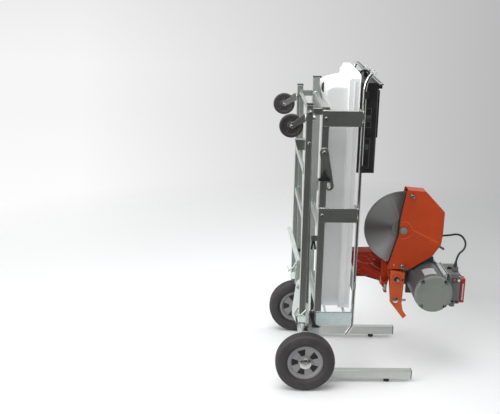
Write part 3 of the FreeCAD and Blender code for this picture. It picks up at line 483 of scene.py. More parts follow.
def make_finishes(colours):
    rows = (
        ("zinc_steel", zinc_finish, colours.zinc),
        ("panel_zinc", zinc_finish, colours.panel, 0.40, 1.0, 0.16, 0.30),
        # A lighter, duller copy of the zinc: painted highlight for the floor's reflection.
        ("pale_zinc", zinc_finish, (0.80, 0.86, 0.83), 0.45, 0.6, 0.10, 0.15),
        ("tray_sheet", tray_finish, colours.tray),
        ("bright_fasteners", bright_finish, (0.74, 0.74, 0.72)),
        ("black_plastic", moulded_finish, (0.012, 0.012, 0.012), 0.45, 0.2, 0.12),
        ("black_rubber", moulded_finish, (0.015, 0.015, 0.015), 0.7, 0.3, 0.15),
        ("tyre_rubber", moulded_finish, colours.tyre, 0.62, 0.35, 0.22),
        ("castor_rubber", moulded_finish, (0.036, 0.031, 0.031), 0.38, 0.2, 0.12),
        ("hub_grey", moulded_finish, colours.hub, 0.46, 0.2, 0.2),
        ("black_coat", moulded_finish, (0.017, 0.017, 0.016), 0.40, 0.4, 0.05),
        ("scale_bar", zinc_finish, (0.60, 0.60, 0.60), 0.32, 0.1),
        ("orange_paint", paint_finish, colours.orange),
        ("bracket_paint", paint_finish, colours.bracket),
        ("red_paint", paint_finish, colours.red),
        ("curtain_cloth", cloth_finish, colours.cloth),
        ("motor_grey", paint_finish, colours.motor, 0.42, 0.1, 0.2),
        ("end_grey", paint_finish, colours.end, 0.50, 0.05, 0.15),
        ("mount_grey", paint_finish, (0.062, 0.064, 0.066), 0.45, 0.1, 0.2),
        ("core_steel", bright_finish, (0.35, 0.35, 0.35), 0.4),
        ("blade_steel", blade_finish, colours.blade),
        ("belt_rubber", moulded_finish, (0.015, 0.015, 0.015), 0.6),
        ("box_grey", moulded_finish, colours.box, 0.48, 0.25, 0.15),
        ("flap_red", moulded_finish, colours.flap, 0.32, 0.05, 0.10),
        ("button_white", moulded_finish, (0.72, 0.72, 0.72), 0.35, 0.05, 0.1),
        ("button_red", moulded_finish, (0.60, 0.03, 0.05), 0.35, 0.05, 0.1),
        ("plate_white", moulded_finish, (0.42, 0.44, 0.44), 0.35, 0.05, 0.2),
        ("lead_black", moulded_finish, (0.006, 0.006, 0.006), 0.68, 0.1, 0.04),
    )
    for slot, finish, colour, *look in rows:
        FINISHES[slot] = finish(slot.replace("_", " "), colour, *look)


# ------------------------------------------------------------------ meshes
class Shape:
    """Closed solids, in the drawing's millimetres, gathered into one piece."""

    def __init__(self):
        self.bm = bmesh.new()

    def soften(self, verts, width):
        edges = dict.fromkeys(edge for vert in verts for edge in vert.link_edges
                              if edge.calc_face_angle(0) > CORNER)
        bmesh.ops.bevel(self.bm, geom=list(edges), offset=width, segments=2, affect="EDGES",
                        profile=0.5, clamp_overlap=True)

    def block(self, xs, ys, zs, soft=0.0):
        verts = bmesh.ops.create_cube(self.bm, size=1.0)["verts"]
        for vert in verts:
            vert.co = Vector([(a + b) / 2 + share * (b - a) for share, (a, b) in zip(vert.co, (xs, ys, zs))])
        if soft:
            self.soften(verts, soft)

    def slab(self, outline, y0, y1, soft=0.0):
        low = [self.bm.verts.new((x, y0, z)) for x, z in outline]
        high = [self.bm.verts.new((x, y1, z)) for x, z in outline]
        self.bm.faces.new(low)
        self.bm.faces.new(high)
        for i in range(len(outline)):
            j = (i + 1) % len(outline)
            self.bm.faces.new((low[i], low[j], high[j], high[i]))
        if soft:
            self.soften(low + high, soft)

    def turned(self, profile, start, direction=AWAY, segments=64, ring=False):
        """A profile of (radius, travel) points about a line. A ring's profile closes on itself."""
        turn = direction.to_track_quat("Z", "Y").to_matrix()
        rows = []
        for radius, travel in profile:
            steps = segments if radius > 1e-6 else 1
            angles = [math.tau * i / steps for i in range(steps)]
            spots = [Vector((radius * math.cos(a), radius * math.sin(a), travel)) for a in angles]
            rows.append([self.bm.verts.new(Vector(start) + turn @ spot) for spot in spots])
        pairs = list(zip(rows, rows[1:]))
        if ring:
            pairs.append((rows[-1], rows[0]))
        for first, second in pairs:
            for i in range(segments):
                loop = [first[i % len(first)], first[(i + 1) % len(first)],
                        second[(i + 1) % len(second)], second[i % len(second)]]
                corners = list(dict.fromkeys(loop))
                if len(corners) > 2:
                    self.bm.faces.new(corners)

    def rod(self, start, end, radius, soft=0.0, segments=24):
        travel = Vector(end) - Vector(start)
        length = travel.length
        profile = [(0, 0), (radius - soft, 0), (radius, soft), (radius, length - soft),
                   (radius - soft, length), (0, length)]
        self.turned(profile, start, travel.normalized(), segments)

    def wire(self, points, radius, closed=False, steps=8):
        """A round wire whose line is a smooth spline through the runs."""
        curve = spline("wire", points, radius, steps, closed)
        holder = linked("wire", curve)
        mesh = evaluated(holder)
        self.bm.from_mesh(mesh)
        bpy.data.objects.remove(holder)
        bpy.data.curves.remove(curve)
        bpy.data.meshes.remove(mesh)

    def build(self, name):
        bmesh.ops.remove_doubles(self.bm, verts=self.bm.verts, dist=0.0005)
        bmesh.ops.recalc_face_normals(self.bm, faces=self.bm.faces)
        for vert in self.bm.verts:
            vert.co = at(*vert.co)
        mesh = bpy.data.meshes.new(name)
        self.bm.to_mesh(mesh)
        self.bm.free()
        smooth(mesh)
        return linked(name, mesh)

    def done(self, name, body, slot, *replaced):
        settle(self.build(name), body, slot, *replaced)


def smooth(mesh, angle=SHARP):
    mesh.shade_smooth()
    mesh.set_sharp_from_angle(angle=angle)


def evaluated(piece):
    graph = bpy.context.evaluated_depsgraph_get()
    return bpy.data.meshes.new_from_object(piece.evaluated_get(graph), depsgraph=graph)


def linked(name, data):
    piece = bpy.data.objects.new(name, data)
    bpy.context.scene.collection.objects.link(piece)
    return piece


def settle(piece, body, slot, *replaced):
    """Gives a finished piece its material and its body, and hides the nodes that it stands for."""
    piece.data.materials.clear()
    piece.data.materials.append(FINISHES[slot])
    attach(piece, body)
    SHADES.get(slot, slot)
    if replaced:
        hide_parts(*replaced)


def keep(piece):
    """Replaces a piece's mesh by its modifiers' result."""
    mesh = evaluated(piece)
    piece.modifiers.clear()
    piece.data = mesh
    smooth(mesh)


def carved(piece, cutter, operation="DIFFERENCE"):
    modifier = piece.modifiers.new("cut", "BOOLEAN")
    modifier.operation = operation
    modifier.object = cutter
    keep(piece)
    bpy.data.objects.remove(cutter)


def spline(name, points, radius, steps, closed=False, roundness=2):
    """A round wire as a curve: a smooth spline through its runs."""
    curve = bpy.data.curves.new(name, "CURVE")
    curve.dimensions = "3D"
    curve.bevel_depth = radius
    curve.bevel_resolution = roundness
    curve.resolution_u = steps
    curve.use_fill_caps = True
    line = curve.splines.new("NURBS")
    line.points.add(len(points) - 1)
    for spot, point in zip(line.points, points):
        spot.co = (*point, 1.0)
    line.order_u = 3
    line.use_endpoint_u = not closed
    line.use_cyclic_u = closed
    return curve


def softened(node, body, width):
    """A copy of a node's solid with rounded edges, which stands for it."""
    bm = bmesh.new()
    bm.from_mesh(NODES[node].data)
    bmesh.ops.remove_doubles(bm, verts=bm.verts, dist=1e-6)
    bmesh.ops.dissolve_limit(bm, angle_limit=0.02, verts=bm.verts, edges=bm.edges)
    edges = [edge for edge in bm.edges if len(edge.link_faces) == 2
             and edge.calc_face_angle(0) > NODE_CORNER]
    bmesh.ops.bevel(bm, geom=edges, offset=width * MM, segments=2, affect="EDGES", profile=0.5,
                    clamp_overlap=True)
    bmesh.ops.triangulate(bm, faces=[face for face in bm.faces if len(face.verts) > 4])
    mesh = bpy.data.meshes.new(node + " soft")
    bm.to_mesh(mesh)
    bm.free()
    smooth(mesh, NODE_SHARP)
    settle(linked(node + "_soft", mesh), body, NODE_FINISHES.get(node, SLOT_OF[node]), node)


# ------------------------------------------------------------------ growths
def grow(name, source, growth, values, body, slot):
    """Runs a growth on a source mesh and keeps the result as a plain mesh."""
    holder = linked(name, source)
    modifier = holder.modifiers.new("growth", "NODES")
    modifier.node_group = growth.tree
    for key, value in {**values, "Material": FINISHES[slot]}.items():
        modifier[growth.ids[key]] = value
    keep(holder)
    settle(holder, body, slot)


def points_mesh(spots):
    """Points at (x, y, z) spots, or with the aim and scale of (x, y, z, aim, scale) spots."""
    mesh = bpy.data.meshes.new("points")
    mesh.from_pydata([at(*spot[:3]) for spot in spots], [], [])
    if len(spots[0]) > 3:
        mesh.attributes.new("aim", "FLOAT_VECTOR", "POINT")
        mesh.attributes.new("scale", "FLOAT", "POINT")
        for i, spot in enumerate(spots):
            mesh.attributes["aim"].data[i].vector = spot[3]
            mesh.attributes["scale"].data[i].value = spot[4]
    return mesh


def lines_mesh(lines):
    mesh = bpy.data.meshes.new("lines")
    verts, edges = [], []
    for line in lines:
        start = len(verts)
        verts += [at(*point) for point in line]
        edges += [(start + i, start + i + 1) for i in range(len(line) - 1)]
    mesh.from_pydata(verts, edges, [])
    return mesh


def bolt_growth():
    """Washer and chamfered hexagon head on each point, turned to face along its aim."""
    growth = Growth("bolt heads")
    head, height = growth.sizes("Head radius", "Head height")
    inputs = {"Vertices": 24, "Radius": head * 1.28, "Depth": height * 0.28}
    washer = growth.raised(growth.add("GeometryNodeMeshCylinder", {}, inputs), height * 0.14)
    inputs = {"Vertices": 6, "Radius": head, "Depth": height * 0.6}
    hexagon = growth.raised(growth.add("GeometryNodeMeshCylinder", {}, inputs), height * 0.55)
    inputs = {"Vertices": 6, "Radius Top": head * 0.82, "Radius Bottom": head, "Depth": height * 0.15}
    top = growth.raised(growth.add("GeometryNodeMeshCone", {}, inputs), height * 0.85)
    aim = growth.add("GeometryNodeInputNamedAttribute", {"data_type": "FLOAT_VECTOR"}, {"Name": "aim"})
    scale = growth.add("GeometryNodeInputNamedAttribute", {"data_type": "FLOAT"}, {"Name": "scale"})
    turn = growth.add("FunctionNodeAlignRotationToVector", {"axis": "Z"}, {"Vector": aim})
    return growth.placed(growth.geometry, growth.joined(washer, hexagon, top), Rotation=turn, Scale=scale)


def weld_growth():
    """Overlapping ripples along each line, of slightly uneven size."""
    growth = Growth("weld ripples")
    radius, step = growth.sizes("Ripple radius", "Step")
    ripple = growth.add("GeometryNodeMeshIcoSphere", {}, {"Radius": radius, "Subdivisions": 2})
    uneven = growth.add("FunctionNodeRandomValue", {"data_type": "FLOAT"}, {2: 0.8, 3: 1.15, "Seed": 7}, 1)
    return growth.placed(growth.stepped(step), ripple, Scale=uneven)


def mark_growth():
    """Raised marks along a line at an even step, every fifth one longer."""
    growth = Growth("fence marks")
    step, across, depth = growth.sizes("Step", "Mark width", "Mark depth")
    index = growth.add("GeometryNodeInputIndex")
    fifth = index.math("COMPARE", index.math("MODULO", index, 5.0), 0.0, 0.1)
    mark = growth.add("GeometryNodeMeshCube", {}, {"Size": growth.triple(across, depth, depth)})
    return growth.placed(growth.stepped(step), mark, Scale=growth.triple(fifth * 0.8 + 1.0, 1.0, 1.0))


def rib_growth():
    """Upright ribs at the points of a line."""
    growth = Growth("table ribs")
    width, depth, height = growth.sizes("Rib width", "Rib depth", "Rib height")
    rib = growth.add("GeometryNodeMeshCube", {}, {"Size": growth.triple(depth, height, width)})
    return growth.placed(growth.geometry, rib)


def coil_growth():
    """A wire wound upwards into a coil."""
    growth = Growth("spring coil")
    turns, radius, height, wire = growth.sizes("Turns", "Coil radius", "Coil height", "Wire radius")
    inputs = {"Resolution": 24, "Rotations": turns, "Start Radius": radius, "End Radius": radius,
              "Height": height}
    coil = growth.add("GeometryNodeCurveSpiral", {}, inputs)
    section = growth.add("GeometryNodeCurvePrimitiveCircle", {}, {"Resolution": 10, "Radius": wire})
    inputs = {"Curve": coil, "Profile Curve": section, "Fill Caps": True}
    return growth.placed(growth.geometry, growth.add("GeometryNodeCurveToMesh", {}, inputs))


def bolts(name, body, spots, sizes):
    """Hexagon heads at (x, y, z, aim, scale) spots."""
    values = {"Head radius": sizes.bolt, "Head height": sizes.bolt_height}
    grow(name, points_mesh(spots), bolt_growth(), values, body, "bright_fasteners")


# ------------------------------------------------------------------ wheels
def make_tyre(name, side):
    """Tread with shallow grooves, square shoulders and rings moulded on both walls."""
    half = [(78.3, 17), (84, 22), (90, 29), (92.5, 30.6), (94, 30.2), (96, 31.2), (100, 31.6), (102, 32),
            (108, 31.9), (109, 31.4), (110, 31.9), (116, 31), (121, 29.8), (125, 27.8), (128, 25),
            (129.6, 21.5), (130.1, 18.5), (127.8, 17.8), (127.8, 15.4), (130.4, 14.7), (131, 8),
            (131, 5.4), (128.4, 4.8), (128.4, 2.6), (131, 2)]
    shape = Shape()
    shape.turned(both_ways(half), (0, side * WHEEL_Y, AXLE_Z), segments=112, ring=True)
    shape.done(name + "_tread", name + "_wheel", "tyre_rubber", name + "_tyre")


def make_hub_shade_plates(name, side):
    """Black plates that paint the shade inside the hub's pockets, and the hub's two raised rings."""
    plate, ring = Shape(), Shape()
    for low, high in ((-8.4, -2.9), (1.9, 7.4)):
        plate.turned([(30.8, low), (60.4, low), (60.4, high), (30.8, high)], (0, side * WHEEL_Y, AXLE_Z),
                     ring=True)
    plate.done(name + "_hub_shade_plates", name + "_wheel", "black_plastic")
    for radius, travel in ((26.2, 21.8), (71.5, 17.0)):
        spots = circle((0, side * (WHEEL_Y + travel), AXLE_Z), radius, evenly(24))
        ring.wire(spots, 1.5, closed=True, steps=4)
    ring.done(name + "_hub_rings", name + "_wheel", "hub_grey")


# ------------------------------------------------------------------ frame
def frame_bolt_spots():
    spots = []
    for side in (NEAR, FAR):
        aim = AWAY * side
        for z in (775, 1189.5):
            spots.append((53, side * 255, z, aim, 0.85))
            spots += [(208, side * 228, z + dz, RIGHT, 0.6) for dz in (-20, 20)]
        spots.append((4, side * 252, 262, aim, 1.0))
    return spots + [(51, -263, 1048, -AWAY, 1.0)]


def leg_bolt_spots():
    spots = []
    for side in (NEAR, FAR):
        spots.append((-15, side * 282, 1217, AWAY * side, 1.0))
        spots.append((-15, side * 279, 1090, AWAY * side, 0.75))
    return spots


def round_joint(x, y, z, radius):
    """The line of a weld around a tube's end."""
    line = circle((x, y, z), radius, evenly(20))
    return line + line[:1]


def frame_weld_lines():
    lines = []
    for side in (NEAR, FAR):
        face = side * RAIL_FACE
        lines += [round_joint(53, side * 219, z, 12.6) for z in (346, 700, 1212)]
        lines += [[(69, face, 47), (69, face, 30)], [(38, side * 220.5, 290), (38, side * 220.5, 330)],
                  [(91.6, side * 249.4, 291), (91.6, side * 249.4, 315)]]
        lines += [[(42, face, z), (65, face, z)] for z in (744, 806, 1157, 1222)]
    return lines


def make_leg_sleeves():
    """Light pressed sleeves round the legs' lower ends, pale as a painted highlight, and a bent clip on each
    front leg.
    """
    sleeves, clips, folded = Shape(), Shape(), Shape()
    for side in (NEAR, FAR):
        y = side * LEG_Y
        for ys in ((y - 15.6, y - 14.1), (y + 14.1, y + 15.6)):
            sleeves.slab([(-32.4, 292), (-1.6, 292), (-1.6, 318), (-12, 330), (-32.4, 322)], *ys, 0.4)
        sleeves.block((-32.8, -31.2), (y - 15.4, y + 15.4), (292, 322), 0.4)
        y = side * 278.6
        clips.wire([(-44, y, 318), (-34, y, 326), (-20, y, 326), (-8, y, 342), (2, y, 352)], 2.6)
        folded.slab([(-11.5, 272), (15.6, 272), (14.6, 350), (8, 368), (-4, 372), (-12.8, 356)],
                    *sides(side, 242.3, 243.9), 0.4)
        folded.slab([(-11.6, 272), (-10.2, 272), (-11.4, 352), (-12.8, 352)], *sides(side, 226, 243.9), 0.3)
    sleeves.done("front_leg_sleeves", "front_frame", "pale_zinc")
    clips.done("front_leg_clips", "front_frame", "bright_fasteners")
    folded.done("rear_leg_sleeves", "rear_frame", "pale_zinc")


def make_plugs():
    """Ribbed plugs in the toe bars' rear ends and folded hems along the lower panels."""
    hems, plugs = Shape(), Shape()
    for side in (NEAR, FAR):
        for zs in ((329.6, 333), (266, 268)):
            hems.block((46, 203), sides(side, 252, 253.6), zs, 0.5)
        y = side * 235
        plugs.block((41.5, 45.5), (y - 14, y + 14), (9, 47), 1.2)
        for dy in (-8, 0, 8):
            plugs.block((40.5, 42), (y + dy - 1.2, y + dy + 1.2), (13, 43))
    hems.done("panel_hems", "chassis", "zinc_steel")
    plugs.done("toe_bar_plugs", "chassis", "black_plastic")


# ------------------------------------------------------------------ tray
def make_tray_trim():
    """Rolled bead along the tray's rim and the drain's plug in its sump."""
    bead, drain = Shape(), Shape()
    loop = []
    corners = ((153, 1338, 0, 32), (-153, 1338, 148, 32), (-153, 345, 180, 90), (153, 345, 270, 90))
    for centre_y, centre_z, start, turn in corners:
        for i in range(7):
            angle = math.radians(start + turn * i / 6)
            loop.append((196.6, centre_y + 30.6 * math.cos(angle), centre_z + 30.6 * math.sin(angle)))
    bead.wire(loop, 2.2, closed=True, steps=3)
    bead.done("tray_bead", "chassis", "tray_sheet")
    drain.turned([(0, -0.4), (23, -0.4), (23, 1.5), (20.5, 3), (17, 3), (16, 7), (14, 8), (0, 8)],
                 (63, 0, 1281), -RIGHT, 40)
    drain.done("tray_drain", "chassis", "black_rubber")


# ------------------------------------------------------------------ levers, stops and caps
SOFT_NODES = (
    ("latch_knob", "latch", 1.6), ("latch_lever", "latch", 0.8), ("cam_lever", "cam", 1.4),
    ("stop_pads", "chassis", 1.2), ("frame_end_caps", "chassis", 0.8),
    ("front_leg_caps", "front_frame", 0.8), ("rear_leg_caps", "rear_frame", 0.8),
    ("pivot_block", "chassis", 1.0), ("column_base", "chassis", 1.0),
)


# ------------------------------------------------------------------ castors
def make_castor(name, side):
    """Ribbed tread, hub disc and swivel bearing of one castor."""
    roller, race = Shape(), Shape()
    x, z = CASTOR
    y = side * LEG_Y
    half = [(5.1, 10), (15, 10), (17, 8.6), (19, 7.4), (33, 7.2), (35, 8.4), (38, 9.8), (44, 10),
            (47.5, 8.2), (49.2, 5), (49.9, 1.2)]
    roller.turned(both_ways(half), (x, y, z), ring=True, segments=72)
    for rod_x, _, rod_z in circle((x, y, z), 26, evenly(5, 17.188734)):
        roller.rod((rod_x, y - 8.2, rod_z), (rod_x, y + 8.2, rod_z), 3.6, 0.8, 12)
    roller.done(name + "_castor_tread", name + "_castor_roller", "castor_rubber", name + "_castor_wheel")
    race.turned([(0, 0), (15.5, 0), (17, 1.5), (17, 3), (15, 4.4), (0, 4.4)], (-36, y, 1193), RIGHT, 40)
    race.done(name + "_castor_race", name + "_castor", "bright_fasteners")


def castor_bolt_spots(side):
    x, z = CASTOR
    return [(x, side * LEG_Y + 16.5 * way, z, AWAY * way, 0.75) for way in (NEAR, FAR)]


# ------------------------------------------------------------------ table
def make_table_side():
    """Pressed panels and a rolled lip along both sides of the sliding table."""
    panels, lip = Shape(), Shape()
    for side in (NEAR, FAR):
        face = sides(side, 187.5, 189.6)
        for low, high in ((1140, 1169), (1173, 1224), (966, 1096)):
            for xs in ((223, 226), (246, 249)):
                panels.block(xs, face, (low, high), 0.6)
            for zs in ((low, low + 3), (high - 3, high)):
                panels.block((223, 249), face, zs, 0.6)
        recess = sides(side, 187.5, 188.1)
        panels.block((226, 246), recess, (1180, 1194))
        panels.block((229, 243), recess, (1048, 1070))
        panels.rod((269.8, side * 188.4, 950), (269.8, side * 188.4, 1302), 2.0, 0.5, 12)
        lip.block((272.6, 278.5), sides(side, 184, 188.4), (1100, 1300), 1.0)
        lip.block((272.6, 277), sides(side, 184, 188.4), (1246, 1262), 1.0)
    panels.done("table_side_panels", "table", "mount_grey")
    lip.done("table_front_lip", "table", "black_coat")


def make_table_ribs(sizes):
    spots = [(274.2, side * 96, 978 + 30 * i) for side in (NEAR, FAR) for i in range(11)]
    values = {"Rib width": sizes.rib, "Rib depth": 2.4 * MM, "Rib height": 150 * MM}
    grow("table_grip_ribs", points_mesh(spots), rib_growth(), values, "table", "black_coat")


def make_fence(sizes):
    """Marks along the fence's scale and the wires of its clip."""
    near, far = Vector((278, -220, 1328)), Vector((228, 188, 1370))
    run = (far - near).normalized()
    line = [near + run * travel + UP * 3.4 for travel in (14, 396)]
    values = {"Step": sizes.mark_step, "Mark width": 6.5 * MM, "Mark depth": 0.5 * MM}
    grow("fence_marks", lines_mesh([line]), mark_growth(), values, "table", "black_coat")
    wires = Shape()
    wires.wire([(262, -112, 1347), (256, -113, 1360), (254, -112, 1371), (266, -108, 1370),
                (277, -101, 1358), (268, -96, 1347)], 1.4)
    for line in ([(252, -30, 1352), (244, -30, 1369), (258, -34, 1373), (270, -52, 1368), (262, -70, 1351)],
                 [(246, 26, 1356), (234, 20, 1372), (244, 10, 1373), (262, 4, 1360), (252, 0, 1355)]):
        wires.wire(line, 1.3)
    wires.done("fence_wires", "table", "zinc_steel", "wire_clip")


# ------------------------------------------------------------------ saw head
GUARD_OUTLINE = ((453, 833), (538, 826), (629, 731), (629, 625), (624, 577), (592, 526), (490, 458),
                 (385, 458), (429, 622), (430, 690))


def near_line(x, z, start, end):
    """Distance of a point from a run."""
    spot, start, end = Vector((x, z)), Vector(start), Vector(end)
    run = end - start
    along = max(0.0, min(1.0, (spot - start).dot(run) / run.length_squared))
    return (spot - start - run * along).length


def ease(value, low, high):
    share = max(0.0, min(1.0, (value - low) / (high - low)))
    return share * share * (3 - 2 * share)


def guard_relief(x, z):
    """How far the pressed guard stands out: a boss, its ring and a channel."""
    radius = math.hypot(x - ARBOR[0], z - ARBOR[1])
    boss = 2.6 * ease(radius, 31, 27)
    ring = 1.5 * ease(radius, 44, 40)
    channel = 4.0 * ease(near_line(x, z, (484, 637), (610, 574)), 13, 8)
    return boss + max(ring, channel)


def make_guard_cover():
    """The guard's near wall: one pressed sheet with rounded edges, its rim's bead and its ridges, the ridges
    in lighter paint as painted highlights on the folds.
    """
    step, left, low = 3.0, 376, 448
    columns, rows = 89, 138
    sheet = Shape()
    front = [[None] * rows for _ in range(columns)]
    back = [[None] * rows for _ in range(columns)]
    for i in range(columns):
        for j in range(rows):
            x, z = left + step * i, low + step * j
            front[i][j] = sheet.bm.verts.new((x, GUARD_FACE - guard_relief(x, z), z))
            back[i][j] = sheet.bm.verts.new((x, GUARD_FACE + 2.4, z))
    for layer in (front, back):
        for i in range(columns - 1):
            for j in range(rows - 1):
                sheet.bm.faces.new((layer[i][j], layer[i + 1][j], layer[i + 1][j + 1], layer[i][j + 1]))
    rim = [(i, 0) for i in range(columns)] + [(columns - 1, j) for j in range(1, rows)]
    rim += [(i, rows - 1) for i in range(columns - 2, -1, -1)] + [(0, j) for j in range(rows - 2, 0, -1)]
    for (a, b), (c, d) in zip(rim, rim[1:] + rim[:1]):
        sheet.bm.faces.new((front[a][b], front[c][d], back[c][d], back[a][b]))
    cover = sheet.build("guard_cover")
    edge, hole, bead, ridges = Shape(), Shape(), Shape(), Shape()
    edge.slab(GUARD_OUTLINE, -60, -41)
    carved(cover, edge.build("edge"), "INTERSECT")
    x, z = ARBOR
    hole.rod((x, -70, z), (x, -30, z), 17)
    carved(cover, hole.build("hole"))
    settle(cover, "head", "orange_paint", "guard_side_cover")
    outline = [Vector((x, -44.2, z)) for x, z in GUARD_OUTLINE]
    centre = Vector((520, -44.2, 640))
    inward = []
    for before, corner, after in zip(outline[-1:] + outline[:-1], outline, outline[1:] + outline[:1]):
        for spot in (corner + (before - corner).normalized() * 3, corner,
                     corner + (after - corner).normalized() * 3):
            inward.append(spot + (centre - spot).normalized() * 1.6)
    bead.wire(inward, 1.7, closed=True, steps=3)
    bead.done("guard_bead", "head", "orange_paint")
    # The ridges take the lighter bracket paint: painted highlights along the boss's ring and the channel's
    # folds.
    ridges.wire(circle((x, -46.2, z), 40, [-106 + 212 * i / 14 for i in range(15)]), 1.7, steps=3)
    for start, end in (((490, 647), (612, 587)), ((484, 625), (602, 564))):
        start, end = (Vector((spot[0], -45.6, spot[1])) for spot in (start, end))
        ridges.wire([start.lerp(end, i / 5) for i in range(6)], 1.9, steps=2)
    ridges.done("guard_ridge_highlights", "head", "bracket_paint")


def make_guard_fittings(sizes):
    """The arbor's end nut, a black strip that paints the shade in the gap along the guard's rear edge, the
    wing lever, the hinge knob and the water nipple.
    """
    cap, gap_shade, fittings, nipple = Shape(), Shape(), Shape(), Shape()
    cap.turned([(0, -4.6), (6, -4.6), (7, -4), (14.5, -3.6), (16, -2.4), (16.5, 0), (16.5, 4), (0, 4)],
               (ARBOR[0], -51, ARBOR[1]))
    cap.done("arbor_cap", "head", "end_grey")
    # Black strip: painted shade in the gap between the blade and the guard's rear edge.
    gap_shade.slab([(447, 816), (453, 822), (430, 690), (429, 622), (393, 484), (386, 484), (421.5, 622),
               (422.5, 690)], -44, -41)
    gap_shade.done("guard_gap_shade", "head", "black_rubber")
    fittings.wire([(467, -48, 812), (474, -51, 808), (486, -50, 799), (494, -47, 795)], 3.0)
    fittings.turned([(0, 0), (11, 0), (11, 3), (9.6, 5), (9.6, 10), (7.4, 13), (0, 13.4)],
                    (452, GUARD_FACE, 471), -AWAY, 32)
    fittings.wire([(452, -57, 471), (464, -58, 467), (475, -60, 462)], 3.6)
    fittings.done("guard_fittings", "head", "bright_fasteners")
    for x0, z0, x1, z1, radius, soft in ((612, 571, 630, 560.2, 5.4, 0.6), (627, 562, 642, 553, 4.6, 1.0),
                                         (633, 558.4, 637, 556, 6.0, 0.8)):
        nipple.rod((x0, -37, z0), (x1, -37, z1), radius, soft)
    nipple.done("water_nipple", "head", "motor_grey")
    spots = [(478, GUARD_FACE - 5, 806, -AWAY, 0.8), (415, GUARD_FACE, 478, -AWAY, 0.4)]
    bolts("guard_bolts", "head", spots, sizes)


def make_cheek():
    """The bracket's cheek: a dished pivot hole with its bolt, a clamp bolt, a cut-out and a washer, with
    black pieces that paint the shade in the hole and the cut-out.
    """
    place = (430, -62, 414)
    cup, hole_shade, stud = Shape(), Shape(), Shape()
    cup.turned([(13, 1.4), (13, -0.6), (15.4, -1.6), (17.4, -0.2), (17.4, 9.6), (15.6, 9.6)], place,
               ring=True, segments=40)
    cup.done("pivot_ring", "head", "bracket_paint")
    # Black disc and block: painted shade at the bottom of the pivot hole and in the cut-out.
    hole_shade.turned([(0, -0.5), (13.4, -0.5), (13.4, 0.8), (0, 0.8)], place, segments=40)
    hole_shade.block((456, 463), (-53, -51), (402, 412), 0.5)
    hole_shade.done("pivot_hole_shade", "head", "black_rubber")
    stud.turned([(0, -3.4), (4.8, -3.4), (6.4, -2.4), (7.0, 0), (0, 0)], (435, -62.4, 411), segments=24)
    stud.turned([(0, -2.6), (9.6, -2.6), (12.6, -1.6), (13.2, 0), (0, 0)], (432, -56.4, 309), segments=32)
    stud.done("pivot_stud", "head", "bright_fasteners")


def make_blade():
    """Steel core with a wider cutting rim, and the stepped face of its flange."""
    blade, collar = Shape(), Shape()
    place = (ARBOR[0], 0, ARBOR[1])
    half = [(10.05, 1.6), (44, 1.6), (46, 1.3), (158, 1.3), (160, 1.6), (171.4, 1.6), (172, 1.1)]
    blade.turned(both_ways(half), place, segments=180, ring=True)
    blade.done("cutting_disc", "blade", "blade_steel", "saw_blade")
    collar.turned([(11, -8.8), (26, -8.8), (29, -8.4), (31, -9.6), (42, -9.8), (45, -9.2), (45, -7.8),
                   (11, -7.8)], place, segments=72, ring=True)
    collar.done("flange_face", "blade", "end_grey")


# ------------------------------------------------------------------ motor and switch box
def make_motor_end():
    """Dished end bell with four bolt pockets, a raised rim and a faint centre, and black domes that paint
    the shade in the pockets.
    """
    x, z = MOTOR
    bell, pockets, pocket_shades = Shape(), Shape(), Shape()
    bell.turned([(0, 2.2), (30, 2.0), (60, 1.6), (70, 0.6), (74, 0.0), (78, 0.4), (81.5, 1.8), (84.2, 4.6),
                 (85, 8), (85, 10), (85, 26), (80, 26), (80, 12), (0, 12)], (x, -200, z), segments=96)
    piece = bell.build("end_bell")
    for start in circle((x, -204, z), 80, END_BOLT_TURNS):
        pockets.rod(start, (start[0], -191.5, start[2]), 11.5, 1.2)
    carved(piece, pockets.build("pockets"))
    settle(piece, "head", "end_grey", "motor_end_bell")
    # Black domes set off-centre in the pockets: painted shade inside them.
    for start in circle((x, -191.2, z), 77.5, END_BOLT_TURNS):
        pocket_shades.turned([(0, 0), (6.6, 0), (6.6, 1), (5.4, 3), (0, 3.2)], start, -AWAY, 6)
    pocket_shades.done("end_pocket_shades", "head", "black_rubber")


def make_motor_body():
    """Joint rings round the body, the terminal box's seat, pale as a painted highlight along the housing's
    flange, its gasket, and the bare plate's rivets.
    """
    x, z = MOTOR
    body, seat, gasket, rivets = Shape(), Shape(), Shape(), Shape()
    for ring in ([(84.8, -176), (86.2, -175), (86.2, -171.5), (84.8, -170.5)],
                 [(84.8, -20), (87.5, -18), (87.5, -11), (84.8, -9.5)]):
        body.turned(ring, (x, 0, z), ring=True, segments=96)
    body.done("motor_rings", "head", "motor_grey")
    # The seat's pale colour is a painted highlight along the housing's flange.
    seat.slab([(618, 474), (640, 478), (640, 470), (636, 334), (640, 326), (622, 330)], -152, -6, 1.2)
    seat.done("box_seat", "head", "plate_white")
    for ys in ((-153.5, -150.5), (-8, -4)):
        gasket.block((636.5, 641.5), ys, (338, 478), 0.8)
    gasket.block((633, 641), (-152, -6), (473.5, 477.5), 0.8)
    gasket.done("box_gasket", "head", "black_rubber")
    for y in (-164, -100):
        for dx, dz in ((-33, 78.8), (8, 85.6)):
            rivets.turned([(0, 0), (2.4, 0), (2.2, 0.9), (1.2, 1.5), (0, 1.6)], (x + dx, y, z + dz),
                          Vector((dx, 0, dz)).normalized(), 16)
    rivets.done("plate_rivets", "head", "bright_fasteners")


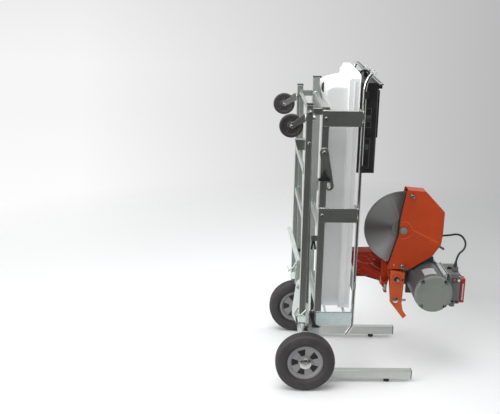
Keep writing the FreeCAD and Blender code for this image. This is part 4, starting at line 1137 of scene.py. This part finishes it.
def make_switch_box(sizes):
    """Lid with rounded corners, collars, vents, feet and screws, and the stop flap's rims and stripe."""
    lid, feet, grip, stripe = Shape(), Shape(), Shape(), Shape()
    lid.slab([(648, 470.5), (696, 470.5), (697.5, 469), (697.5, 339), (696, 337.5), (648, 337.5),
              (646.5, 339), (646.5, 469)], BOX_FACE, -149.5, 1.0)
    lid.block((668.6, 693.4), (-117.4, -92.6), (474, 495.6), 2.0)
    lid.turned([(0, 0), (13.5, 0), (13.5, 19), (10, 21), (0, 21)], (674, -124, 334), -UP, 32)
    for x in (671, 690):
        lid.turned([(5.9, -155.2), (7.2, -155.6), (8.2, -155), (8.4, -150), (5.9, -150)], (x, 0, 447),
                   ring=True, segments=32)
    for z in (366, 384, 402):
        lid.block((656, 668), (-153.4, -152), (z, z + 6), 0.6)
    lid.done("box_lid", "head", "box_grey")
    for xs in ((664, 674), (682, 693)):
        feet.block(xs, (-156, -151), (342, 349), 1.2)
    feet.slab([(660.6, 437), (681.4, 437), (681.4, 457), (660.6, 457)], -152.9, -151.9, 0.4)
    feet.block((647, 650.5), (-152.8, -151), (356, 430), 0.6)
    feet.done("box_feet", "head", "black_plastic")
    spots = [(x, BOX_FACE, z, -AWAY, scale)
             for x, z, scale in ((652, 464, 0.5), (652, 344, 0.5), (693, 464, 0.5), (660, 344, 0.4))]
    bolts("box_screws", "head", spots, sizes)
    for xs in ((717.4, 720.3), (702.2, 706)):
        grip.block(xs, (-151.4, -149.4), (342, 452), 0.7)
    grip.done("flap_grip", "flap", "flap_red")
    stripe.block((708.5, 714.5), (-151.0, -149.6), (352, 430), 0.5)
    stripe.done("flap_stripe", "flap", "plate_white")


LEAD_POINTS = ((616, 27, 597), (664, 27, 597), (722, 18, 612), (750, 0, 580), (738, -32, 553),
               (691, -84, 544), (681, -105, 505))


def make_lead():
    """The motor's lead from the guard's clip to the box, and its ribbed strain reliefs."""
    curve = spline("motor_lead", [at(*point) for point in LEAD_POINTS], 4.5 * MM, 24, roundness=5)
    settle(linked("motor_lead", curve), "head", "lead_black", "head_lead")
    reliefs = Shape()
    profile = [(4.7, -6), (8.4, -6), (8.4, 0), (7.0, 1.2), (7.4, 4), (6.2, 5.2), (6.6, 8), (5.4, 9.4),
               (5.8, 12), (4.9, 13.4), (4.7, 13.4)]
    for end, inner in ((LEAD_POINTS[-1], LEAD_POINTS[-2]), (LEAD_POINTS[0], LEAD_POINTS[1])):
        way = (Vector(inner) - Vector(end)).normalized()
        reliefs.turned(profile, end, way, 32, ring=True)
    reliefs.done("lead_reliefs", "head", "black_rubber")


# ------------------------------------------------------------------ column
def curtain_edge(x):
    return 395 - 22 * max(0.0, (x - 296) / 73)


def make_curtain(sizes):
    """The splash curtain: one coated sheet laid over the column, creased where it is drawn to the flange."""
    columns, rows = 70, 96
    fold = sizes.fold / MM
    left, span, near_y, far_y, top = 229, 139, 24.0, 98.8, 513.2
    creases = ((0.34, 38, 4, 1.0), (-0.28, 47, 15, 0.8), (0.12, 29, 9, 0.5))
    verts, uvs, faces = [], [], []
    for j in range(rows + 1):
        for i in range(columns + 1):
            share = i / columns
            x = left + span * share
            drop = top - curtain_edge(x)
            length = 2 * drop + (far_y - near_y)
            travel = length * j / rows
            crease = 0.0
            for slope, pitch, shift, weight in creases:
                phase = (min(travel, length - travel) + slope * (x - left)) / pitch + shift / pitch
                crease += weight * ((phase % 1.0) * 2 - 1) ** 2
            crease *= fold * (0.35 + 0.65 * share) / 2.3
            if travel < drop:
                point = (x, near_y - 0.48 * crease, top - drop + travel)
            elif travel < drop + far_y - near_y:
                point = (x, near_y + travel - drop, top + 0.3 * crease)
            else:
                point = (x, far_y + crease, top - (travel - drop - (far_y - near_y)))
            verts.append(at(*point))
            uvs.append((span * share * MM, travel * MM))
    for j in range(rows):
        for i in range(columns):
            a = j * (columns + 1) + i
            faces.append((a, a + 1, a + columns + 2, a + columns + 1))
    mesh = bpy.data.meshes.new("curtain")
    mesh.from_pydata(verts, [], faces)
    layer = mesh.uv_layers.new(name="UVMap")
    for loop in mesh.loops:
        layer.data[loop.index].uv = uvs[loop.vertex_index]
    curtain = linked("curtain", mesh)
    wall = curtain.modifiers.new("wall", "SOLIDIFY")
    wall.thickness = 1.1 * MM
    wall.offset = 0.0
    keep(curtain)
    settle(curtain, "chassis", "curtain_cloth", "splash_curtain")


def make_pivot_web():
    """Upper web of the pivot block, between the column's flange and the pivot's lug."""
    web = Shape()
    web.slab([(378.6, 474), (386, 474), (398, 458), (404, 440), (400, 424), (378.6, 424)], 24.5, 58, 1.5)
    web.done("pivot_web", "chassis", "red_paint")


def make_spring(sizes):
    """The counter spring: its coil and the hooked wires at both ends."""
    values = {"Turns": float(sizes.coil_turns), "Coil radius": 5.2 * MM, "Coil height": 34 * MM,
              "Wire radius": sizes.coil_wire}
    grow("spring_coil", points_mesh([(391, 0, 335)]), coil_growth(), values, "chassis", "bright_fasteners")
    ends = Shape()
    ends.wire([(391, 0, 369), (391, -4, 373), (391, -9, 378), (391, -4, 382), (391, 2, 379)], 1.6)
    ends.wire([(391, 0, 335), (391, -3, 331), (391, -7, 327), (391, -2, 324), (391, 3, 327)], 1.6)
    ends.wire([(386, -4, 376), (384, -6, 352), (388, -7, 330)], 1.5)
    ends.done("spring_hooks", "chassis", "bright_fasteners", "counter_spring")


# ------------------------------------------------------------------ stage
def make_floor(colours):
    mesh = bpy.data.meshes.new("floor")
    bm = bmesh.new()
    bmesh.ops.create_circle(bm, cap_ends=True, segments=96, radius=9.0)
    bmesh.ops.translate(bm, verts=bm.verts, vec=(0, 0, -0.0003))
    bm.to_mesh(mesh)
    bm.free()
    floor = linked("floor", mesh)
    skin = new_skin("pale floor")
    x, y, _ = skin.split(skin.place())
    # Painted shade: the floor darkens towards the right and the far side.
    right = skin.spread(x + 0.1 * y, 0.12, 0.80)
    far = skin.spread(y, 0.05, 0.75)
    colour = skin.mix(right, colours.floor, times(colours.floor, 0.80))
    colour = skin.mix(right * far, colour, times(colours.floor, 0.56))
    # Painted reflection: in glossy rays alone the floor in front turns dark, as a dark card seen only in
    # reflections.
    glossy = skin.add("ShaderNodeLightPath", {}, {}, "Is Glossy Ray")
    front = skin.spread(y, -0.30, -0.75)
    colour = skin.mix((glossy * front).clamp(), colour, (0.055, 0.050, 0.047))
    solid = skin.add("ShaderNodeBsdfPrincipled", {}, {"Base Color": colour, "Roughness": 0.6})
    clear = skin.add("ShaderNodeBsdfTransparent")
    fade = skin.spread(skin.vector("LENGTH", skin.place(), output=1), 1.4, 3.4)
    skin.finish(skin.add("ShaderNodeMixShader", {}, {0: fade, 1: solid, 2: clear}))
    mesh.materials.append(skin.data)


def make_world():
    world = bpy.data.worlds.new("studio")
    bpy.context.scene.world = world
    skin = Skin(world)
    x, y, z = skin.split(skin.add("ShaderNodeTexCoord", {}, {}, "Generated"))
    # Painted shade in the backdrop: darker to the right, lighter low on the left, darker towards the top on
    # the left.
    right = skin.spread(x, -0.17, 0.30)
    left = skin.mix(skin.spread(z, -0.18, -0.30), (0.93, 0.93, 0.93), (1.0, 1.0, 1.0))
    backdrop = skin.mix(right, left, (0.49, 0.49, 0.495))
    backdrop = skin.mix(0.09 * skin.spread(z, -0.13, -0.05) * (1.0 - right), backdrop, (0, 0, 0))
    # Painted reflection: glossy rays see a dark front, as a dark card seen only in reflections.
    front = skin.spread(y, -0.10, -0.5) * (1.0 - skin.spread(z, 0.20, 0.60))
    room = skin.mix(front.clamp(), (0.80, 0.81, 0.81), (0.040, 0.038, 0.037))
    light = (0.62, 0.63, 0.64)
    camera = skin.add("ShaderNodeLightPath", {}, {}, "Is Camera Ray")
    glossy = skin.add("ShaderNodeLightPath", {}, {}, "Is Glossy Ray")
    colour = skin.mix(camera, skin.mix(glossy, light, room), backdrop)
    glow = skin.add("ShaderNodeBackground", {}, {"Color": colour, "Strength": 1.0})
    skin.finish(glow, "ShaderNodeOutputWorld")


def make_lamp(name, spot, target, width, height, power):
    data = bpy.data.lights.new(name, "AREA")
    data.shape = "RECTANGLE"
    data.size, data.size_y = width, height
    data.energy = power
    lamp = linked(name, data)
    lamp.location = spot
    lamp.rotation_euler = (Vector(target) - Vector(spot)).to_track_quat("-Z", "Y").to_euler()


def make_camera(pan=-1.40, dip=16.68, roll=1.11):
    """The camera, with its turns in degrees: to the left, downwards and about its own line of sight."""
    data = bpy.data.cameras.new("camera")
    camera = linked("camera", data)
    data.sensor_width = 36.0
    data.lens = 62.46
    camera.location = at(-338, -3753, 1857)
    turn = Matrix.Rotation(math.radians(pan), 3, "Z") @ Matrix.Rotation(math.radians(90 - dip), 3, "X")
    camera.rotation_euler = (turn @ Matrix.Rotation(math.radians(roll), 3, "Z")).to_euler()
    bpy.context.scene.camera = camera


# ------------------------------------------------------------------ operators
class MSAW_OT_finishes(bpy.types.Operator):
    """Makes the finishes and gives each CAD piece its own"""
    bl_idname = "msaw.finishes"
    bl_label = "Finishes"

    def execute(self, context):
        make_finishes(context.scene.saw_colours)
        for name, node in NODES.items():
            node.data.materials.clear()
            node.data.materials.append(FINISHES[NODE_FINISHES.get(name, SLOT_OF[name])])
        return {"FINISHED"}


class MSAW_OT_wheels(bpy.types.Operator):
    """Builds the tyres, the black plates that paint shade into the hubs' pockets, and the hubs' rings"""
    bl_idname = "msaw.wheels"
    bl_label = "Wheels"

    def execute(self, context):
        for name, side in (("near", NEAR), ("far", FAR)):
            make_tyre(name, side)
            make_hub_shade_plates(name, side)
        return {"FINISHED"}


class MSAW_OT_frame(bpy.types.Operator):
    """Adds bolt heads, welds, sleeves, hems and plugs to the frame and the legs"""
    bl_idname = "msaw.frame"
    bl_label = "Frame"

    def execute(self, context):
        sizes = context.scene.saw_sizes
        bolts("frame_bolt_heads", "chassis", frame_bolt_spots(), sizes)
        bolts("leg_bolt_heads", "front_frame", leg_bolt_spots(), sizes)
        values = {"Ripple radius": sizes.weld, "Step": sizes.weld_step}
        grow("frame_welds", lines_mesh(frame_weld_lines()), weld_growth(), values, "chassis", "zinc_steel")
        make_leg_sleeves()
        make_plugs()
        return {"FINISHED"}


class MSAW_OT_tray(bpy.types.Operator):
    """Adds the water tray's bead and drain plug"""
    bl_idname = "msaw.tray"
    bl_label = "Water Tray"

    def execute(self, context):
        make_tray_trim()
        return {"FINISHED"}


class MSAW_OT_levers(bpy.types.Operator):
    """Rounds the edges of the levers, knobs, stops, caps and castings"""
    bl_idname = "msaw.levers"
    bl_label = "Levers and Caps"

    def execute(self, context):
        for node, body, width in SOFT_NODES:
            softened(node, body, width)
        return {"FINISHED"}


class MSAW_OT_castors(bpy.types.Operator):
    """Builds the castors' treads, bearings and axle bolts"""
    bl_idname = "msaw.castors"
    bl_label = "Castors"

    def execute(self, context):
        sizes = context.scene.saw_sizes
        for name, side in (("near", NEAR), ("far", FAR)):
            make_castor(name, side)
            bolts(name + "_castor_bolts", name + "_castor", castor_bolt_spots(side), sizes)
        return {"FINISHED"}


class MSAW_OT_table(bpy.types.Operator):
    """Builds the sliding table's panels and ribs and the fence's marks and wires"""
    bl_idname = "msaw.table"
    bl_label = "Sliding Table"

    def execute(self, context):
        sizes = context.scene.saw_sizes
        make_table_side()
        make_table_ribs(sizes)
        make_fence(sizes)
        return {"FINISHED"}


class MSAW_OT_guard(bpy.types.Operator):
    """Builds the pressed blade guard, its fittings and the bracket's pivot"""
    bl_idname = "msaw.guard"
    bl_label = "Blade Guard"

    def execute(self, context):
        make_guard_cover()
        make_guard_fittings(context.scene.saw_sizes)
        make_cheek()
        return {"FINISHED"}


class MSAW_OT_blade(bpy.types.Operator):
    """Builds the cutting disc and its flange face"""
    bl_idname = "msaw.blade"
    bl_label = "Blade"

    def execute(self, context):
        make_blade()
        return {"FINISHED"}


class MSAW_OT_motor(bpy.types.Operator):
    """Builds the motor's end bell, rings, terminal seat and plate rivets"""
    bl_idname = "msaw.motor"
    bl_label = "Motor"

    def execute(self, context):
        make_motor_end()
        make_motor_body()
        return {"FINISHED"}


class MSAW_OT_switch_box(bpy.types.Operator):
    """Builds the switch box's lid, feet, screws and flap trim, and the motor's lead"""
    bl_idname = "msaw.switch_box"
    bl_label = "Switch Box and Lead"

    def execute(self, context):
        make_switch_box(context.scene.saw_sizes)
        make_lead()
        return {"FINISHED"}


class MSAW_OT_column(bpy.types.Operator):
    """Builds the splash curtain, the pivot's web and the counter spring"""
    bl_idname = "msaw.column"
    bl_label = "Curtain and Spring"

    def execute(self, context):
        sizes = context.scene.saw_sizes
        make_curtain(sizes)
        make_pivot_web()
        make_spring(sizes)
        return {"FINISHED"}


class MSAW_OT_stage(bpy.types.Operator):
    """Sets up the floor, the studio light and the camera"""
    bl_idname = "msaw.stage"
    bl_label = "Stage"

    def execute(self, context):
        context.scene.view_settings.view_transform = "Standard"
        make_floor(context.scene.saw_colours)
        make_world()
        make_lamp("top", (-0.8, -0.6, 3.4), (0, 0, 0.6), 2.6, 2.2, 70)
        make_lamp("left", (-3.2, -1.6, 1.9), (0, 0, 0.7), 2.0, 2.0, 50)
        make_lamp("right", (2.8, 1.0, 2.2), (0, 0, 0.6), 1.6, 1.6, 30)
        make_camera()
        return {"FINISHED"}


STEPS = (MSAW_OT_finishes, MSAW_OT_wheels, MSAW_OT_frame, MSAW_OT_tray, MSAW_OT_levers, MSAW_OT_castors,
         MSAW_OT_table, MSAW_OT_guard, MSAW_OT_blade, MSAW_OT_motor, MSAW_OT_switch_box, MSAW_OT_column,
         MSAW_OT_stage)


class MSAW_PT_steps(bpy.types.Panel):
    """Lists the build steps with their sizes and colours"""
    bl_idname = "MSAW_PT_steps"
    bl_label = "Masonry Saw"
    bl_space_type = "VIEW_3D"
    bl_region_type = "UI"
    bl_category = "Masonry Saw"

    def draw(self, context):
        for group in (context.scene.saw_sizes, context.scene.saw_colours):
            box = self.layout.box()
            for name in type(group).__annotations__:
                box.prop(group, name)
        for step in STEPS:
            self.layout.operator(step.bl_idname)


CLASSES = (SawSizes, SawColours, *STEPS, MSAW_PT_steps)


def register():
    for cls in CLASSES:
        bpy.utils.register_class(cls)
    bpy.types.Scene.saw_sizes = PointerProperty(type=SawSizes)
    bpy.types.Scene.saw_colours = PointerProperty(type=SawColours)


def unregister():
    del bpy.types.Scene.saw_colours
    del bpy.types.Scene.saw_sizes
    for cls in reversed(CLASSES):
        bpy.utils.unregister_class(cls)


def main():
    register()
    for step in STEPS:
        group, name = step.bl_idname.split(".")
        getattr(getattr(bpy.ops, group), name)()


if __name__ == "__main__":
    main()
